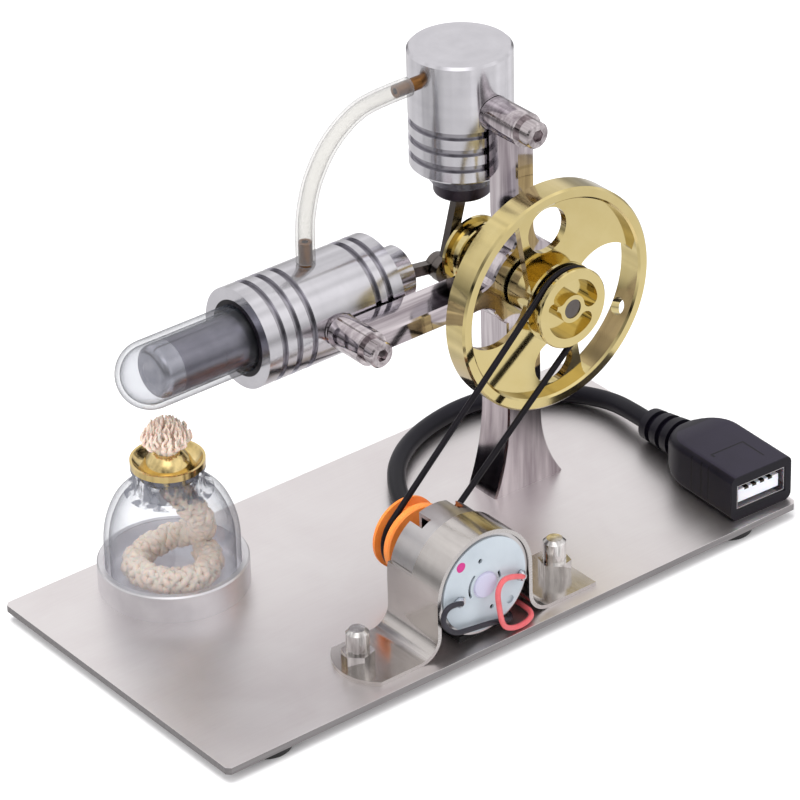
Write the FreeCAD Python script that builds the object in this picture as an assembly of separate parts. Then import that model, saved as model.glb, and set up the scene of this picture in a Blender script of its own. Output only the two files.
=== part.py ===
import FreeCAD, Part
import math
import os

# Desk-top Stirling engine with a belt-driven generator, an alcohol lamp and a USB outlet lead.
# Frame: millimetres, +X along the base plate, +Y towards the cylinders, +Z up.
# The origin is the middle of the plate, on the surface that the rubber feet stand on.

V = FreeCAD.Vector
X_AXIS = V(1, 0, 0)
Y_AXIS = V(0, 1, 0)
Z_AXIS = V(0, 0, 1)

# ---------------------------------------------------------------- driving dimensions
# Base plate and feet
plate_length = 140.0
plate_width = 72.0
plate_thickness = 1.5
plate_corner_cut = 0.8
foot_height = 2.0
foot_radius = 5.2
foot_draft = 0.3
foot_inset_x = 13.0
foot_inset_y = 6.0

# General fits
running_clearance = 0.05      # shaft, pin or rod in its hole
side_gap = 0.3                # moving face beside another piece
seat_clearance = 0.1          # sheet or bar laid round a round piece
screw_radius = 1.5            # M3 fasteners
bolt_head_radius = 2.7
bolt_head_height = 3.3
bolt_head_edge = 0.3
bolt_grip = 2.6               # thread held in a cylinder's wall
washer_thickness = 0.5
socket_radius = 1.35          # hexagon socket, centre to corner
socket_depth = 1.4

# Engine frame: column, bearing housing, level arm and upright arm in one casting
crank_x = 34.0
crank_height = 46.3           # above the plate
frame_front_y = 3.3
frame_depth = 8.6
column_left = 5.0             # from the crank axis
column_right = 3.5
foot_left = 8.7
foot_right = 8.7
left_flare_height = 19.0
right_flare_height = 16.0
housing_radius = 9.0
arm_height = 4.3
arm_reach = 38.7              # crank axis to the displacer cylinder's bolt
upright_width = 4.4
upright_reach = 33.4          # crank axis to the power cylinder's bolt
arm_flare = 4.0
boss_radius = 3.5
spacer_radius = 3.1
bolt_land = 1.0               # boss back to the spot face on a cylinder
frame_edge = 0.35
frame_screw_spacing = 9.0
frame_screw_depth = 8.0

# Bearings, shaft and collars
shaft_radius = 2.0
shaft_recess = 0.2            # shaft's end behind the pulley's face
bearing_radius = 6.5
bearing_width = 3.9
bearing_bore_shoulder = 5.4
inner_ring_radius = 3.3
outer_ring_bore = 5.3
ball_radius = 0.95
ball_count = 7
shield_thickness = 0.4
shield_recess = 0.25
front_collar_length = 0.6
rear_collar_length = 3.6
collar_radius = 3.1

# Flywheel
flywheel_radius = 23.3
rim_thickness = 2.4
rim_width = 5.7
rim_recess = 2.0              # rim face to web face
rim_bevel = 0.4
web_thickness = 1.55
hub_radius = 5.4
hub_back_length = 4.95
window_radius = 4.75
window_offset = (-0.65, 14.7)
opening_centre = (13.65, -2.36)
opening_radius = 8.7
opening_foot = (7.9, -19.2)
rim_hole_radius = 1.75
rim_hole_angle = -28.0

# Belt and its two pulleys
belt_radius = 0.62
belt_gap = 0.1
groove_width = 2.2
drive_pitch_radius = 7.6
drive_flange_radius = 8.3
drive_front_flange = 1.0
drive_rear_flange = 1.1
drive_hub_length = 2.4
brass_edge = 0.25             # bevel on the pulley's and the disc's flanges
kidney_inner = 2.9
kidney_outer = 6.2
kidney_depth = 2.6
kidney_start = 8.0
kidney_span = 125.0
index_hole_radius = 1.15
index_hole_offset = 5.2
index_hole_angle = 161.0
generator_pitch_radius = 6.5
generator_flange_radius = 7.5
generator_front_flange = 1.7
generator_rear_flange = 1.2
generator_edge = 0.3
generator_groove_lead = 2.0    # its groove stands in front of the drive groove
set_screw_radius = 1.0
set_screw_sink = 0.3          # outer end below the hub's surface
set_screw_flats = 0.9
set_screw_socket = 1.0        # socket depth
hub_screw_angle = 60.0        # flywheel and drive pulley
disc_screw_angle = 70.0       # crank disc

# Crank disc, rods and pins
crank_disc_radius = 7.7
crank_disc_flange = 1.2
crank_disc_groove_radius = 6.6
crank_disc_width = 4.7
crank_radius = 6.5
crank_rest_angle = 202.0      # crank pin at rest, from +X towards +Z
crank_pin_radius = 1.0
crank_pin_head_radius = 1.9
crank_pin_head_height = 0.9
crank_pin_head_round = 0.54
rod_thickness = 1.8
power_rod_length = 23.0
power_rod_width = 2.4
power_rod_big_end = 2.8
power_rod_small_end = 2.0
displacer_link_length = 17.8
displacer_link_width = 2.2
displacer_link_big_end = 2.6
displacer_link_small_end = 2.0
wrist_pin_radius = 1.0
wrist_pin_inset = 0.5         # pin's ends below the piston's surface
link_pin_radius = 0.8
link_pin_head_radius = 1.4
link_pin_head_height = 0.6

# Cylinders, which share one plane behind the frame
cylinder_y = 22.75
power_cylinder_radius = 10.4
power_cylinder_height = 25.2
power_cylinder_bottom = 65.2  # above the plate
power_cylinder_roof = 2.4
power_cylinder_edge = 0.5
power_groove_width = 1.5
power_groove_depth = 0.7
power_groove_pitch = 3.5
power_groove_first = 3.4      # cylinder bottom to the first groove's middle
liner_radius = 6.66
liner_wall = 0.8
liner_overhang = 3.2
liner_length = 22.5
piston_clearance = 0.06
piston_length = 15.8
piston_skirt_wall = 1.0
piston_crown = 4.0
piston_edge = 0.7
wrist_pin_height = 7.2        # piston's lower edge to the wrist pin
displacer_cylinder_radius = 10.3
displacer_cylinder_front = -21.5
displacer_cylinder_length = 32.7
displacer_sleeve_radius = 5.65
displacer_sleeve_wall = 0.55
displacer_sleeve_length = 6.4
partition_front = 1.5
partition_length = 3.8
cold_bore_radius = 5.8
fin_groove_depth = 0.8
fin_groove_width = 1.4
fin_groove_front = (3.0, 6.5, 10.1)      # cylinder front to each groove
fin_groove_rear = (2.7, 5.6)             # cylinder rear to each groove
spot_face_clearance = 0.1

# Glass hot cap and displacer
hot_cap_radius = 6.8
hot_cap_wall = 1.0
hot_cap_length = 35.0
hot_cap_seat_depth = 7.7
hot_cap_fit = 0.05
seal_width = 1.0
seal_length = 2.0
displacer_radius = 5.35
displacer_length = 29.5
displacer_cap_length = 4.5
displacer_edge = 1.8
displacer_tip_gap = 5.8       # hot cap's inner end to the displacer at rest
displacer_rod_radius = 1.2
guide_bush_radius = 2.6
tongue_width = 3.2
tongue_root = 1.2
tongue_overhang = 1.9

# Hose and its two nipples
nipple_radius = 1.35
nipple_bore = 0.65
nipple_reach_side = 5.6
nipple_reach_top = 4.6
nipple_root = 2.0
hose_radius = 1.95
hose_overlap_side = 3.2
hose_overlap_top = 4.3
upper_nipple_height = 85.7    # above the plate
hose_lead_in = 2.6            # straight hose beyond the lower nipple
hose_bow = ((0.031, 0.306), (0.106, 0.527), (0.278, 0.771), (0.524, 0.939), (0.753, 1.0))
                              # shares of the way from the lower nipple's end to the upper one's

# Generator, strap and fasteners
motor_x = -7.0
motor_axis_height = 11.8      # above the plate
motor_front_y = -33.0
motor_length = 15.3
can_notch = (2.2, 3.6)        # open at the rear: width and length
can_notch_spread = 4.4        # motor axis to each notch's middle
motor_radius = 10.6
motor_wall = 0.7
motor_lip = 0.4
cap_thickness = 1.6
cap_boss_radius = 2.6
cap_boss_height = 0.5
cap_boss_round = 0.3
cap_slot_radius = 3.7
cap_slot_width = 0.6
cap_slot_spans = ((133, 202), (4, 22))
cap_hole_radius = 0.5
cap_hole_places = ((-1.0, 5.6), (1.6, -5.6))     # from the motor's axis
cap_dimple_radius = 0.9
cap_dimple_depth = 0.4
cap_dimple_place = (6.0, -5.9)
motor_shaft_radius = 1.0
motor_boss_radius = 3.0
motor_boss_length = 1.5
bush_radius = 2.0
magnet_thickness = 2.0
magnet_span = 120.0
magnet_length = 11.0
armature_radius = 7.2
armature_length = 9.0
armature_slot = 1.4
pad_width = 10.0
pad_length = 12.0
terminal_width = 1.9
terminal_height = 0.5
terminal_depth = 1.33
terminal_places = ((-6.1, -1.2), (8.7, -1.6))
strap_thickness = 0.8
strap_front_y = -33.1
strap_front_band = 8.1
strap_rear_band = 7.1
strap_bend_radius = 4.2
strap_foot_left = 28.7        # motor axis to the end of each foot
strap_foot_right = 27.3
strap_end_radius = 10.0
strap_leg_rise = 2.5          # rear half of each leg ends this far above the motor's axis
stud_left = 24.5              # motor axis to each stud
stud_right = 23.6
stud_y = -25.2
stud_reach = 5.4
nut_across_flats = 5.6
nut_hex_height = 3.0
nut_dome_radius = 2.25
nut_dome_height = 4.8
nut_dome_edge = 0.7
nut_turn = 15.0

# USB outlet: moulded socket, its lead and the two motor wires
usb_x = 62.6
usb_y = -33.65
usb_yaw = -2.5
usb_width = 15.2
usb_height = 10.0
usb_straight = 16.0
usb_shoulder = 7.7
shoulder_middle = (13.4, 9.7, 4.4)      # width, height, and distance behind the straight part
shoulder_middle_corner = 2.4
shoulder_end_corner = 3.2
usb_corner = 1.6
relief_radius = (4.2, 3.4)      # ribs, at the plug and at the cable
relief_core_radius = (3.3, 2.6)
relief_height = (4.7, 3.5)      # its axis droops towards the cable
relief_rib = 2.1
relief_pitch = 3.6
relief_ribs = 3
usb_shell_width = 12.4
usb_shell_height = 5.6
usb_shell_wall = 0.35
usb_shell_length = 11.0
usb_shell_recess = 0.3
usb_tongue_width = 10.2
usb_tongue_thickness = 2.8
usb_tongue_offset = -0.3
usb_tongue_recess = 1.0
contact_width = 1.1
contact_pitch = 2.0
contact_thickness = 0.5
contact_length = 6.0
cable_radius = 1.9
cable_lead_out = 6.0          # straight cable behind the relief
wire_radius = 0.55
wire_tuck = 0.4               # wires end this far behind the motor's can

# Spirit lamp
lamp_x = -40.4
lamp_y = 21.1
lamp_seat_radius = 14.8
lamp_seat_wall = 1.3
lamp_seat_height = 5.7
lamp_seat_floor = 0.8
lamp_seat_edge = 0.3
seat_screw_gap = 0.2          # screw's end below the seat's floor
bottle_radius = 13.2
bottle_wall = 1.0
bottle_foot_round = 1.2
bottle_straight_top = 9.0     # heights here are above the plate
shoulder_one = (12.65, 14.4)
shoulder_two = (11.4, 17.8)
shoulder_three = (9.55, 20.4)
shoulder_top = (7.2, 21.9)
neck_radius = 6.85
neck_height = 26.7
neck_lip = 0.4
neck_lip_height = 1.2
neck_lip_slope = 0.4
shoulder_thinning = 0.7       # share of the wall kept on the shoulder's slope
shoulder_step = 1.0           # shoulder's top to the neck's straight part
holder_radius = 7.3
holder_top = 28.0
holder_bore = 2.6
holder_tube_radius = 5.55
holder_tube_length = 2.5
holder_wall = 0.9
holder_sink = 0.8             # dish below the bottle's mouth
holder_rim = 0.5
holder_belly = 0.6
wick_radius = 2.2
flame_gap = 2.8               # wick's tuft to the hot cap
tuft_seat = 1.0               # tuft's lowest point below the dish's rim
coil_radius = 7.4
coil_section = 2.5
coil_entry_angle = -37.0      # where the strand joins the coil
strand_drop = 6.5
strand_rise = 8.5

# ---------------------------------------------------------------- derived places
plate_bottom = foot_height
plate_top = plate_bottom + plate_thickness
crank_z = plate_top + crank_height
frame_back_y = frame_front_y + frame_depth
spot_face_y = frame_back_y + bolt_land
arm_bolt_x = crank_x - arm_reach
upright_bolt_z = crank_z + upright_reach
shaft_back_y = frame_back_y + rear_collar_length + crank_disc_width
hub_back_y = frame_front_y - front_collar_length
web_back_y = hub_back_y - hub_back_length
web_front_y = web_back_y - web_thickness
pulley_back_y = web_front_y - drive_hub_length
groove_back_y = pulley_back_y - drive_rear_flange
groove_front_y = groove_back_y - groove_width
pulley_front_y = groove_front_y - drive_front_flange
belt_y = groove_front_y + groove_width / 2
disc_back_y = shaft_back_y
rod_front_y = disc_back_y + side_gap
rod_back_y = rod_front_y + rod_thickness
link_front_y = rod_back_y + side_gap
link_back_y = link_front_y + rod_thickness
crank_angle = math.radians(crank_rest_angle)
crank_pin_x = crank_x + crank_radius * math.cos(crank_angle)
crank_pin_z = crank_z + crank_radius * math.sin(crank_angle)
wrist_z = crank_pin_z + math.sqrt(power_rod_length ** 2 - (crank_pin_x - crank_x) ** 2)
link_pin_x = crank_pin_x - math.sqrt(displacer_link_length ** 2 - (crank_pin_z - crank_z) ** 2)
cylinder_bottom_z = plate_top + power_cylinder_bottom
cylinder_top_z = cylinder_bottom_z + power_cylinder_height
liner_bottom_z = cylinder_bottom_z - liner_overhang
liner_top_z = liner_bottom_z + liner_length
liner_bore = liner_radius - liner_wall
piston_radius = liner_bore - piston_clearance
piston_bottom_z = wrist_z - wrist_pin_height
displacer_cylinder_rear = displacer_cylinder_front + displacer_cylinder_length
hot_cap_end_x = displacer_cylinder_front + hot_cap_seat_depth
hot_cap_tip_x = hot_cap_end_x - hot_cap_length
displacer_front_x = hot_cap_tip_x + hot_cap_wall + displacer_tip_gap
displacer_back_x = displacer_front_x + displacer_length
partition_rear = partition_front + partition_length
tongue_start_x = link_pin_x - displacer_link_small_end - side_gap - tongue_root
hose_plane_y = cylinder_y
upper_nipple_z = plate_top + upper_nipple_height
motor_z = plate_top + motor_axis_height
motor_back_y = motor_front_y + motor_length
generator_belt_y = belt_y - generator_groove_lead
motor_shaft_back_y = generator_belt_y + groove_width / 2 + generator_rear_flange
strap_inner = motor_radius + seat_clearance
strap_middle_y = strap_front_y + strap_front_band
strap_back_y = strap_middle_y + strap_rear_band
strap_top_z = plate_top + strap_thickness
floor_z = plate_top + lamp_seat_floor
tuft_top_z = crank_z - hot_cap_radius - flame_gap
tuft_bottom_z = plate_top + holder_top - tuft_seat
tuft_radius = (tuft_top_z - tuft_bottom_z) / 2

# ---------------------------------------------------------------- helpers


def cylinder(radius, length, x, y, z, direction):
    return Part.makeCylinder(radius, length, V(x, y, z), direction)


def tube(outer, inner, length, x, y, z, direction):
    body = cylinder(outer, length, x, y, z, direction)
    return body.cut(cylinder(inner, length, x, y, z, direction))


def block(x_range, y_range, z_range):
    size = [high - low for low, high in (x_range, y_range, z_range)]
    return Part.makeBox(*size, V(x_range[0], y_range[0], z_range[0]))


def turned(profile, x, y, z, direction):
    """Solid of revolution: the profile is a closed wire or (radius, height) points."""
    if isinstance(profile, list):
        points = [V(radius, 0, height) for radius, height in profile]
        profile = Part.makePolygon(points + points[:1])
    solid = Part.Face(profile).revolve(V(0, 0, 0), Z_AXIS, 360)
    solid.Placement = FreeCAD.Placement(V(x, y, z), FreeCAD.Rotation(Z_AXIS, direction))
    return solid


def slab(edges, y, depth):
    """Prism of a closed outline in the XZ plane, from y towards +Y."""
    face = Part.Face(Part.Wire(Part.__sortEdges__([edge.toShape() for edge in edges])))
    face.translate(V(0, y, 0))
    return face.extrude(V(0, depth, 0))


def line(start, end):
    return Part.LineSegment(V(start[0], 0, start[1]), V(end[0], 0, end[1]))


def arc(start, middle, end):
    return Part.Arc(*[V(point[0], 0, point[1]) for point in (start, middle, end)])


def outline(points):
    return [line(start, end) for start, end in zip(points, points[1:] + points[:1])]


def polar(centre, radius, degrees):
    angle = math.radians(degrees)
    return centre[0] + radius * math.cos(angle), centre[1] + radius * math.sin(angle)


def flare_arc(foot, top):
    """Arc from a flare's foot that meets the upright line at its top."""
    width = foot[0] - top[0]
    height = top[1] - foot[1]
    radius = (width ** 2 + height ** 2) / (2 * abs(width))
    side = math.copysign(1, width)
    half_angle = math.asin(height / radius) / 2
    middle_x = top[0] + side * (radius - radius * math.cos(half_angle))
    middle_z = top[1] - radius * math.sin(half_angle)
    return arc(foot, (middle_x, middle_z), top)


def hexagon(across_flats, height, x, y, z, direction, spin=0.0):
    radius = across_flats / math.sqrt(3)
    points = [polar((0, 0), radius, spin + 60 * corner) for corner in range(7)]
    prism = Part.Face(Part.makePolygon([V(px, py, 0) for px, py in points])).extrude(V(0, 0, height))
    prism.Placement = FreeCAD.Placement(V(x, y, z), FreeCAD.Rotation(Z_AXIS, direction))
    return prism


def hexagon_socket(x, y, z, direction):
    return hexagon(socket_radius * math.sqrt(3), socket_depth, x, y, z, direction)


def sector(inner, outer, start, end, y, depth, centre):
    """Ring sector in the XZ plane with square ends, angles in degrees from +X towards +Z."""
    middle = (start + end) / 2
    edges = [
        arc(polar(centre, outer, start), polar(centre, outer, middle), polar(centre, outer, end)),
        line(polar(centre, outer, end), polar(centre, inner, end)),
        arc(polar(centre, inner, end), polar(centre, inner, middle), polar(centre, inner, start)),
        line(polar(centre, inner, start), polar(centre, outer, start)),
    ]
    return slab(edges, y, depth)


def rounded_slot(radius, width, start, end, y, depth, centre):
    """Curved slot in the XZ plane with round ends."""
    solid = sector(radius - width / 2, radius + width / 2, start, end, y, depth, centre)
    for angle in (start, end):
        px, pz = polar(centre, radius, angle)
        solid = solid.fuse(cylinder(width / 2, depth, px, y, pz, Y_AXIS))
    return solid.removeSplitter()


def rounded_block(width, height, length, corner):
    """Bar along +Y from y = 0, its section centred on X with rounded corners."""
    bar = block((-width / 2, width / 2), (0, length), (0, height))
    long_edges = [edge for edge in bar.Edges if abs(edge.tangentAt(0).y) > 0.9]
    return bar.makeFillet(corner, long_edges)


def round_path(points):
    """Straight runs joined by tangent arcs; gives the wire and the arcs' radii."""
    edges = []
    radii = []
    start = points[0]
    for before, corner, after in zip(points, points[1:], points[2:]):
        arriving = corner - before
        leaving = after - corner
        reach = 0.45 * min(arriving.Length, leaving.Length)
        half_turn = arriving.getAngle(leaving) / 2
        radius = reach / math.tan(half_turn)
        arriving.normalize()
        leaving.normalize()
        inward = (leaving - arriving).normalize()
        arc_start = corner - arriving * reach
        arc_end = corner + leaving * reach
        arc_middle = corner + inward * (radius / math.cos(half_turn) - radius)
        edges.append(Part.LineSegment(start, arc_start).toShape())
        edges.append(Part.Arc(arc_start, arc_middle, arc_end).toShape())
        radii.append(radius)
        start = arc_end
    edges.append(Part.LineSegment(start, points[-1]).toShape())
    return Part.Wire(edges), radii


def swept(points, radius, name):
    """Round bar along a rounded path; prints its length, tightest bend and volume check."""
    path, radii = round_path(points)
    circle = Part.makeCircle(radius, points[0], points[1] - points[0])
    solid = path.makePipeShell([Part.Wire([circle])], True, False)
    expected = math.pi * radius ** 2 * path.Length
    print(f"{name}: length {path.Length:.1f}, smallest radius {min(radii):.1f}, "
          f"volume ratio {solid.Volume / expected:.4f}")
    return solid


def fused(solids):
    return solids[0].multiFuse(solids[1:]).removeSplitter()


def save(name, solids):
    shape = solids[0] if len(solids) == 1 else Part.makeCompound(solids)
    if not shape.isValid():
        raise ValueError(f"{name} is not a valid shape")
    shape.exportStep(f"parts/{name}.step")


# ---------------------------------------------------------------- base


frame_screw_x = [crank_x + side * frame_screw_spacing / 2 for side in (-1, 1)]
frame_middle_y = frame_front_y + frame_depth / 2
plate_screw_places = [(x, frame_middle_y, frame_screw_depth) for x in frame_screw_x]
plate_screw_places.append((lamp_x, lamp_y, lamp_seat_floor - seat_screw_gap))
stud_places = [(motor_x - stud_left, stud_y), (motor_x + stud_right, stud_y)]


def countersunk_hole(x, y):
    cone = Part.makeCone(2 * screw_radius, screw_radius, plate_thickness, V(x, y, plate_bottom), Z_AXIS)
    return cone


def countersunk_screw(x, y, depth):
    head = countersunk_hole(x, y)
    shank = cylinder(screw_radius, depth, x, y, plate_top, Z_AXIS)
    screw = head.fuse(shank).removeSplitter()
    return screw.cut(hexagon(screw_radius, plate_thickness / 2, x, y, plate_bottom, Z_AXIS))


def make_base():
    plate = block((-plate_length / 2, plate_length / 2), (-plate_width / 2, plate_width / 2),
                  (plate_bottom, plate_top))
    corners = [edge for edge in plate.Edges if abs(edge.tangentAt(0).z) > 0.9]
    plate = plate.makeChamfer(plate_corner_cut, corners)
    for x, y, _ in plate_screw_places:
        plate = plate.cut(countersunk_hole(x, y))
    for x, y in stud_places:
        plate = plate.cut(countersunk_hole(x, y))
    save("base_plate", [plate])

    feet = []
    for side_x in (-1, 1):
        for side_y in (-1, 1):
            x = side_x * (plate_length / 2 - foot_inset_x)
            y = side_y * (plate_width / 2 - foot_inset_y)
            feet.append(Part.makeCone(foot_radius - foot_draft, foot_radius, foot_height, V(x, y, 0), Z_AXIS))
    save("rubber_feet", feet)
    save("plate_screws", [countersunk_screw(x, y, depth) for x, y, depth in plate_screw_places])


# ---------------------------------------------------------------- engine frame


def column_outline():
    left = crank_x - column_left
    right = crank_x + column_right
    left_foot = (crank_x - foot_left, plate_top)
    right_foot = (crank_x + foot_right, plate_top)
    left_top = (left, plate_top + left_flare_height)
    right_top = (right, plate_top + right_flare_height)
    return [
        flare_arc(left_foot, left_top),
        line(left_top, (left, crank_z)),
        line((left, crank_z), (right, crank_z)),
        line((right, crank_z), right_top),
        flare_arc(right_foot, right_top),
        line(right_foot, left_foot),
    ]


def arm_solid(half_width, reach, angle):
    """Arm from the crank axis towards an angle, with concave flares at the housing."""
    start = math.sqrt(housing_radius ** 2 - (half_width + arm_flare) ** 2) * 0.98
    end = housing_radius + arm_flare
    bend = arm_flare * (1 - math.sqrt(0.5))
    edges = [
        line((0, -half_width - arm_flare), (start, -half_width - arm_flare)),
        arc((start, -half_width - arm_flare), (start + (end - start) * 0.3, -half_width - bend),
            (end, -half_width)),
        line((end, -half_width), (reach, -half_width)),
        line((reach, -half_width), (reach, half_width)),
        line((reach, half_width), (end, half_width)),
        arc((end, half_width), (start + (end - start) * 0.3, half_width + bend),
            (start, half_width + arm_flare)),
        line((start, half_width + arm_flare), (0, half_width + arm_flare)),
        line((0, half_width + arm_flare), (0, -half_width - arm_flare)),
    ]
    arm = slab(edges, frame_front_y, frame_depth)
    arm.rotate(V(0, 0, 0), Y_AXIS, -angle)
    arm.translate(V(crank_x, 0, crank_z))
    return arm


def eased(prism):
    """The prism with its front and back edges broken, except along the plate."""
    edges = [edge for edge in prism.Edges
             if edge.BoundBox.YLength < 1e-4 and edge.BoundBox.ZMax > plate_top + 0.01]
    return prism.makeChamfer(frame_edge, edges)


def make_frame():
    prisms = [
        slab(column_outline(), frame_front_y, frame_depth),
        cylinder(housing_radius, frame_depth, crank_x, frame_front_y, crank_z, Y_AXIS),
        arm_solid(arm_height / 2, arm_reach, 180),
        arm_solid(upright_width / 2, upright_reach, 90),
    ]
    body = fused([eased(prism) for prism in prisms] + [
        cylinder(boss_radius, frame_depth, arm_bolt_x, frame_front_y, crank_z, Y_AXIS),
        cylinder(boss_radius, frame_depth + bolt_land, crank_x, frame_front_y, upright_bolt_z, Y_AXIS),
    ])
    rear_bore_y = frame_back_y - bearing_width
    cuts = [
        cylinder(bearing_bore_shoulder, frame_depth, crank_x, frame_front_y, crank_z, Y_AXIS),
        cylinder(bearing_radius, bearing_width, crank_x, frame_front_y, crank_z, Y_AXIS),
        cylinder(bearing_radius, bearing_width, crank_x, rear_bore_y, crank_z, Y_AXIS),
        cylinder(screw_radius, frame_depth, arm_bolt_x, frame_front_y, crank_z, Y_AXIS),
        cylinder(screw_radius, frame_depth + bolt_land, crank_x, frame_front_y, upright_bolt_z, Y_AXIS),
    ]
    for x in frame_screw_x:
        cuts.append(cylinder(screw_radius, frame_screw_depth, x, frame_middle_y, plate_top, Z_AXIS))
    save("engine_frame", [body.cut(cuts)])


bolt_places = [(arm_bolt_x, crank_z), (crank_x, upright_bolt_z)]


def cap_screw(x, z):
    head_y = frame_front_y - washer_thickness
    head = cylinder(bolt_head_radius, bolt_head_height, x, head_y - bolt_head_height, z, Y_AXIS)
    rim = [edge for edge in head.Edges if abs(edge.BoundBox.YMax - head_y + bolt_head_height) < 1e-4]
    head = head.makeChamfer(bolt_head_edge, rim)
    shank = cylinder(screw_radius, spot_face_y + bolt_grip - head_y, x, head_y, z, Y_AXIS)
    socket = hexagon_socket(x, head_y - bolt_head_height, z, Y_AXIS)
    return head.fuse(shank).cut(socket)


def make_frame_fasteners():
    save("cylinder_bolts", [cap_screw(x, z) for x, z in bolt_places])
    washer_y = frame_front_y - washer_thickness
    save("bolt_washers", [tube(boss_radius, screw_radius, washer_thickness, x, washer_y, z, Y_AXIS)
                          for x, z in bolt_places])
    save("bolt_spacer", [tube(spacer_radius, screw_radius, bolt_land,
                              arm_bolt_x, frame_back_y, crank_z, Y_AXIS)])


# ---------------------------------------------------------------- crankshaft


def crank_ring(outer, inner, y, length):
    return tube(outer, inner, length, crank_x, y, crank_z, Y_AXIS)


def make_bearings():
    starts = [frame_front_y, frame_back_y - bearing_width]
    save("bearing_outer_rings", [crank_ring(bearing_radius, outer_ring_bore, y, bearing_width)
                                 for y in starts])
    save("bearing_inner_rings", [crank_ring(inner_ring_radius, shaft_radius, y, bearing_width)
                                 for y in starts])
    faces = [frame_front_y + shield_recess, frame_back_y - shield_recess - shield_thickness]
    save("bearing_shields", [crank_ring(outer_ring_bore, inner_ring_radius + side_gap, y, shield_thickness)
                             for y in faces])
    balls = []
    track = (inner_ring_radius + outer_ring_bore) / 2
    for y in starts:
        for index in range(ball_count):
            x, z = polar((crank_x, crank_z), track, 360 * index / ball_count)
            balls.append(Part.makeSphere(ball_radius, V(x, y + bearing_width / 2, z)))
    save("bearing_balls", balls)


def radial_cylinder(radius, inner, outer, y, degrees):
    x, z = polar((crank_x, crank_z), inner, degrees)
    dx, dz = polar((0, 0), 1, degrees)
    return cylinder(radius, outer - inner, x, y, z, V(dx, 0, dz))


def hub_bored(shape, y, length):
    return shape.cut(cylinder(shaft_radius, length, crank_x, y, crank_z, Y_AXIS))


hub_screw_y = hub_back_y - hub_back_length / 2
disc_screw_y = disc_back_y - crank_disc_width / 2
pulley_screw_y = web_front_y - drive_hub_length / 2
set_screw_places = [(hub_screw_y, hub_radius, hub_screw_angle), (pulley_screw_y, hub_radius, hub_screw_angle),
                    (disc_screw_y, crank_disc_groove_radius, disc_screw_angle)]


def set_screw(y, outer, degrees):
    top = outer - set_screw_sink
    screw = radial_cylinder(set_screw_radius, shaft_radius, top, y, degrees)
    bore_x, bore_z = polar((crank_x, crank_z), top - set_screw_socket, degrees)
    dx, dz = polar((0, 0), 1, degrees)
    core = screw.cut(hexagon(set_screw_flats, set_screw_socket, bore_x, y, bore_z, V(dx, 0, dz)))
    return core.cut(cylinder(shaft_radius, shaft_back_y - pulley_front_y,
                             crank_x, pulley_front_y, crank_z, Y_AXIS))


def web_opening(turn):
    """One of the two large windows: a disc joined to the wedge below it."""
    depth = web_thickness
    x0, z0 = opening_centre
    inner_radius = flywheel_radius - rim_thickness
    disc = cylinder(opening_radius, depth, x0, web_front_y, z0, Y_AXIS)
    wedge = slab(outline([(x0 - opening_radius, z0), opening_foot,
                          (inner_radius, opening_foot[1]), (inner_radius, z0)]), web_front_y, depth)
    limit = cylinder(inner_radius, depth, 0, web_front_y, 0, Y_AXIS)
    window = disc.fuse(wedge).common(limit)
    window.rotate(V(0, 0, 0), Y_AXIS, turn)
    window.translate(V(crank_x, 0, crank_z))
    return window


def make_flywheel():
    rim_front = web_front_y - rim_recess
    inner_radius = flywheel_radius - rim_thickness
    rim_profile = [
        (inner_radius + rim_bevel, 0), (flywheel_radius - rim_bevel, 0),
        (flywheel_radius, rim_bevel), (flywheel_radius, rim_width - rim_bevel),
        (flywheel_radius - rim_bevel, rim_width), (inner_radius + rim_bevel, rim_width),
        (inner_radius, rim_width - rim_bevel), (inner_radius, rim_bevel),
    ]
    rim = turned(rim_profile, crank_x, rim_front, crank_z, Y_AXIS)
    web = cylinder(inner_radius, web_thickness, crank_x, web_front_y, crank_z, Y_AXIS)
    for turn in (0, 180):
        web = web.cut(web_opening(turn))
    for side in (-1, 1):
        x = crank_x + side * window_offset[0]
        z = crank_z + side * window_offset[1]
        web = web.cut(cylinder(window_radius, web_thickness, x, web_front_y, z, Y_AXIS))
    hub = cylinder(hub_radius, hub_back_y - web_front_y, crank_x, web_front_y, crank_z, Y_AXIS)
    wheel = fused([rim, web, hub])
    wheel = hub_bored(wheel, web_front_y, hub_back_y - web_front_y)
    hole_y = rim_front + rim_width / 2 + web_thickness / 2
    wheel = wheel.cut(radial_cylinder(rim_hole_radius, inner_radius - 1, flywheel_radius + 1,
                                      hole_y, rim_hole_angle))
    wheel = wheel.cut(radial_cylinder(set_screw_radius, 0, hub_radius + 1, hub_screw_y, hub_screw_angle))
    save("flywheel", [wheel])


def grooved_profile(flange, root, front, groove, rear, bevel):
    """Turned pulley section from the axis out, front face at height 0."""
    return [
        (0, 0), (flange - bevel, 0), (flange, bevel), (flange, front - bevel), (root, front),
        (root, front + groove), (flange, front + groove + bevel), (flange, front + groove + rear - bevel),
        (flange - bevel, front + groove + rear), (0, front + groove + rear),
    ]


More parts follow.
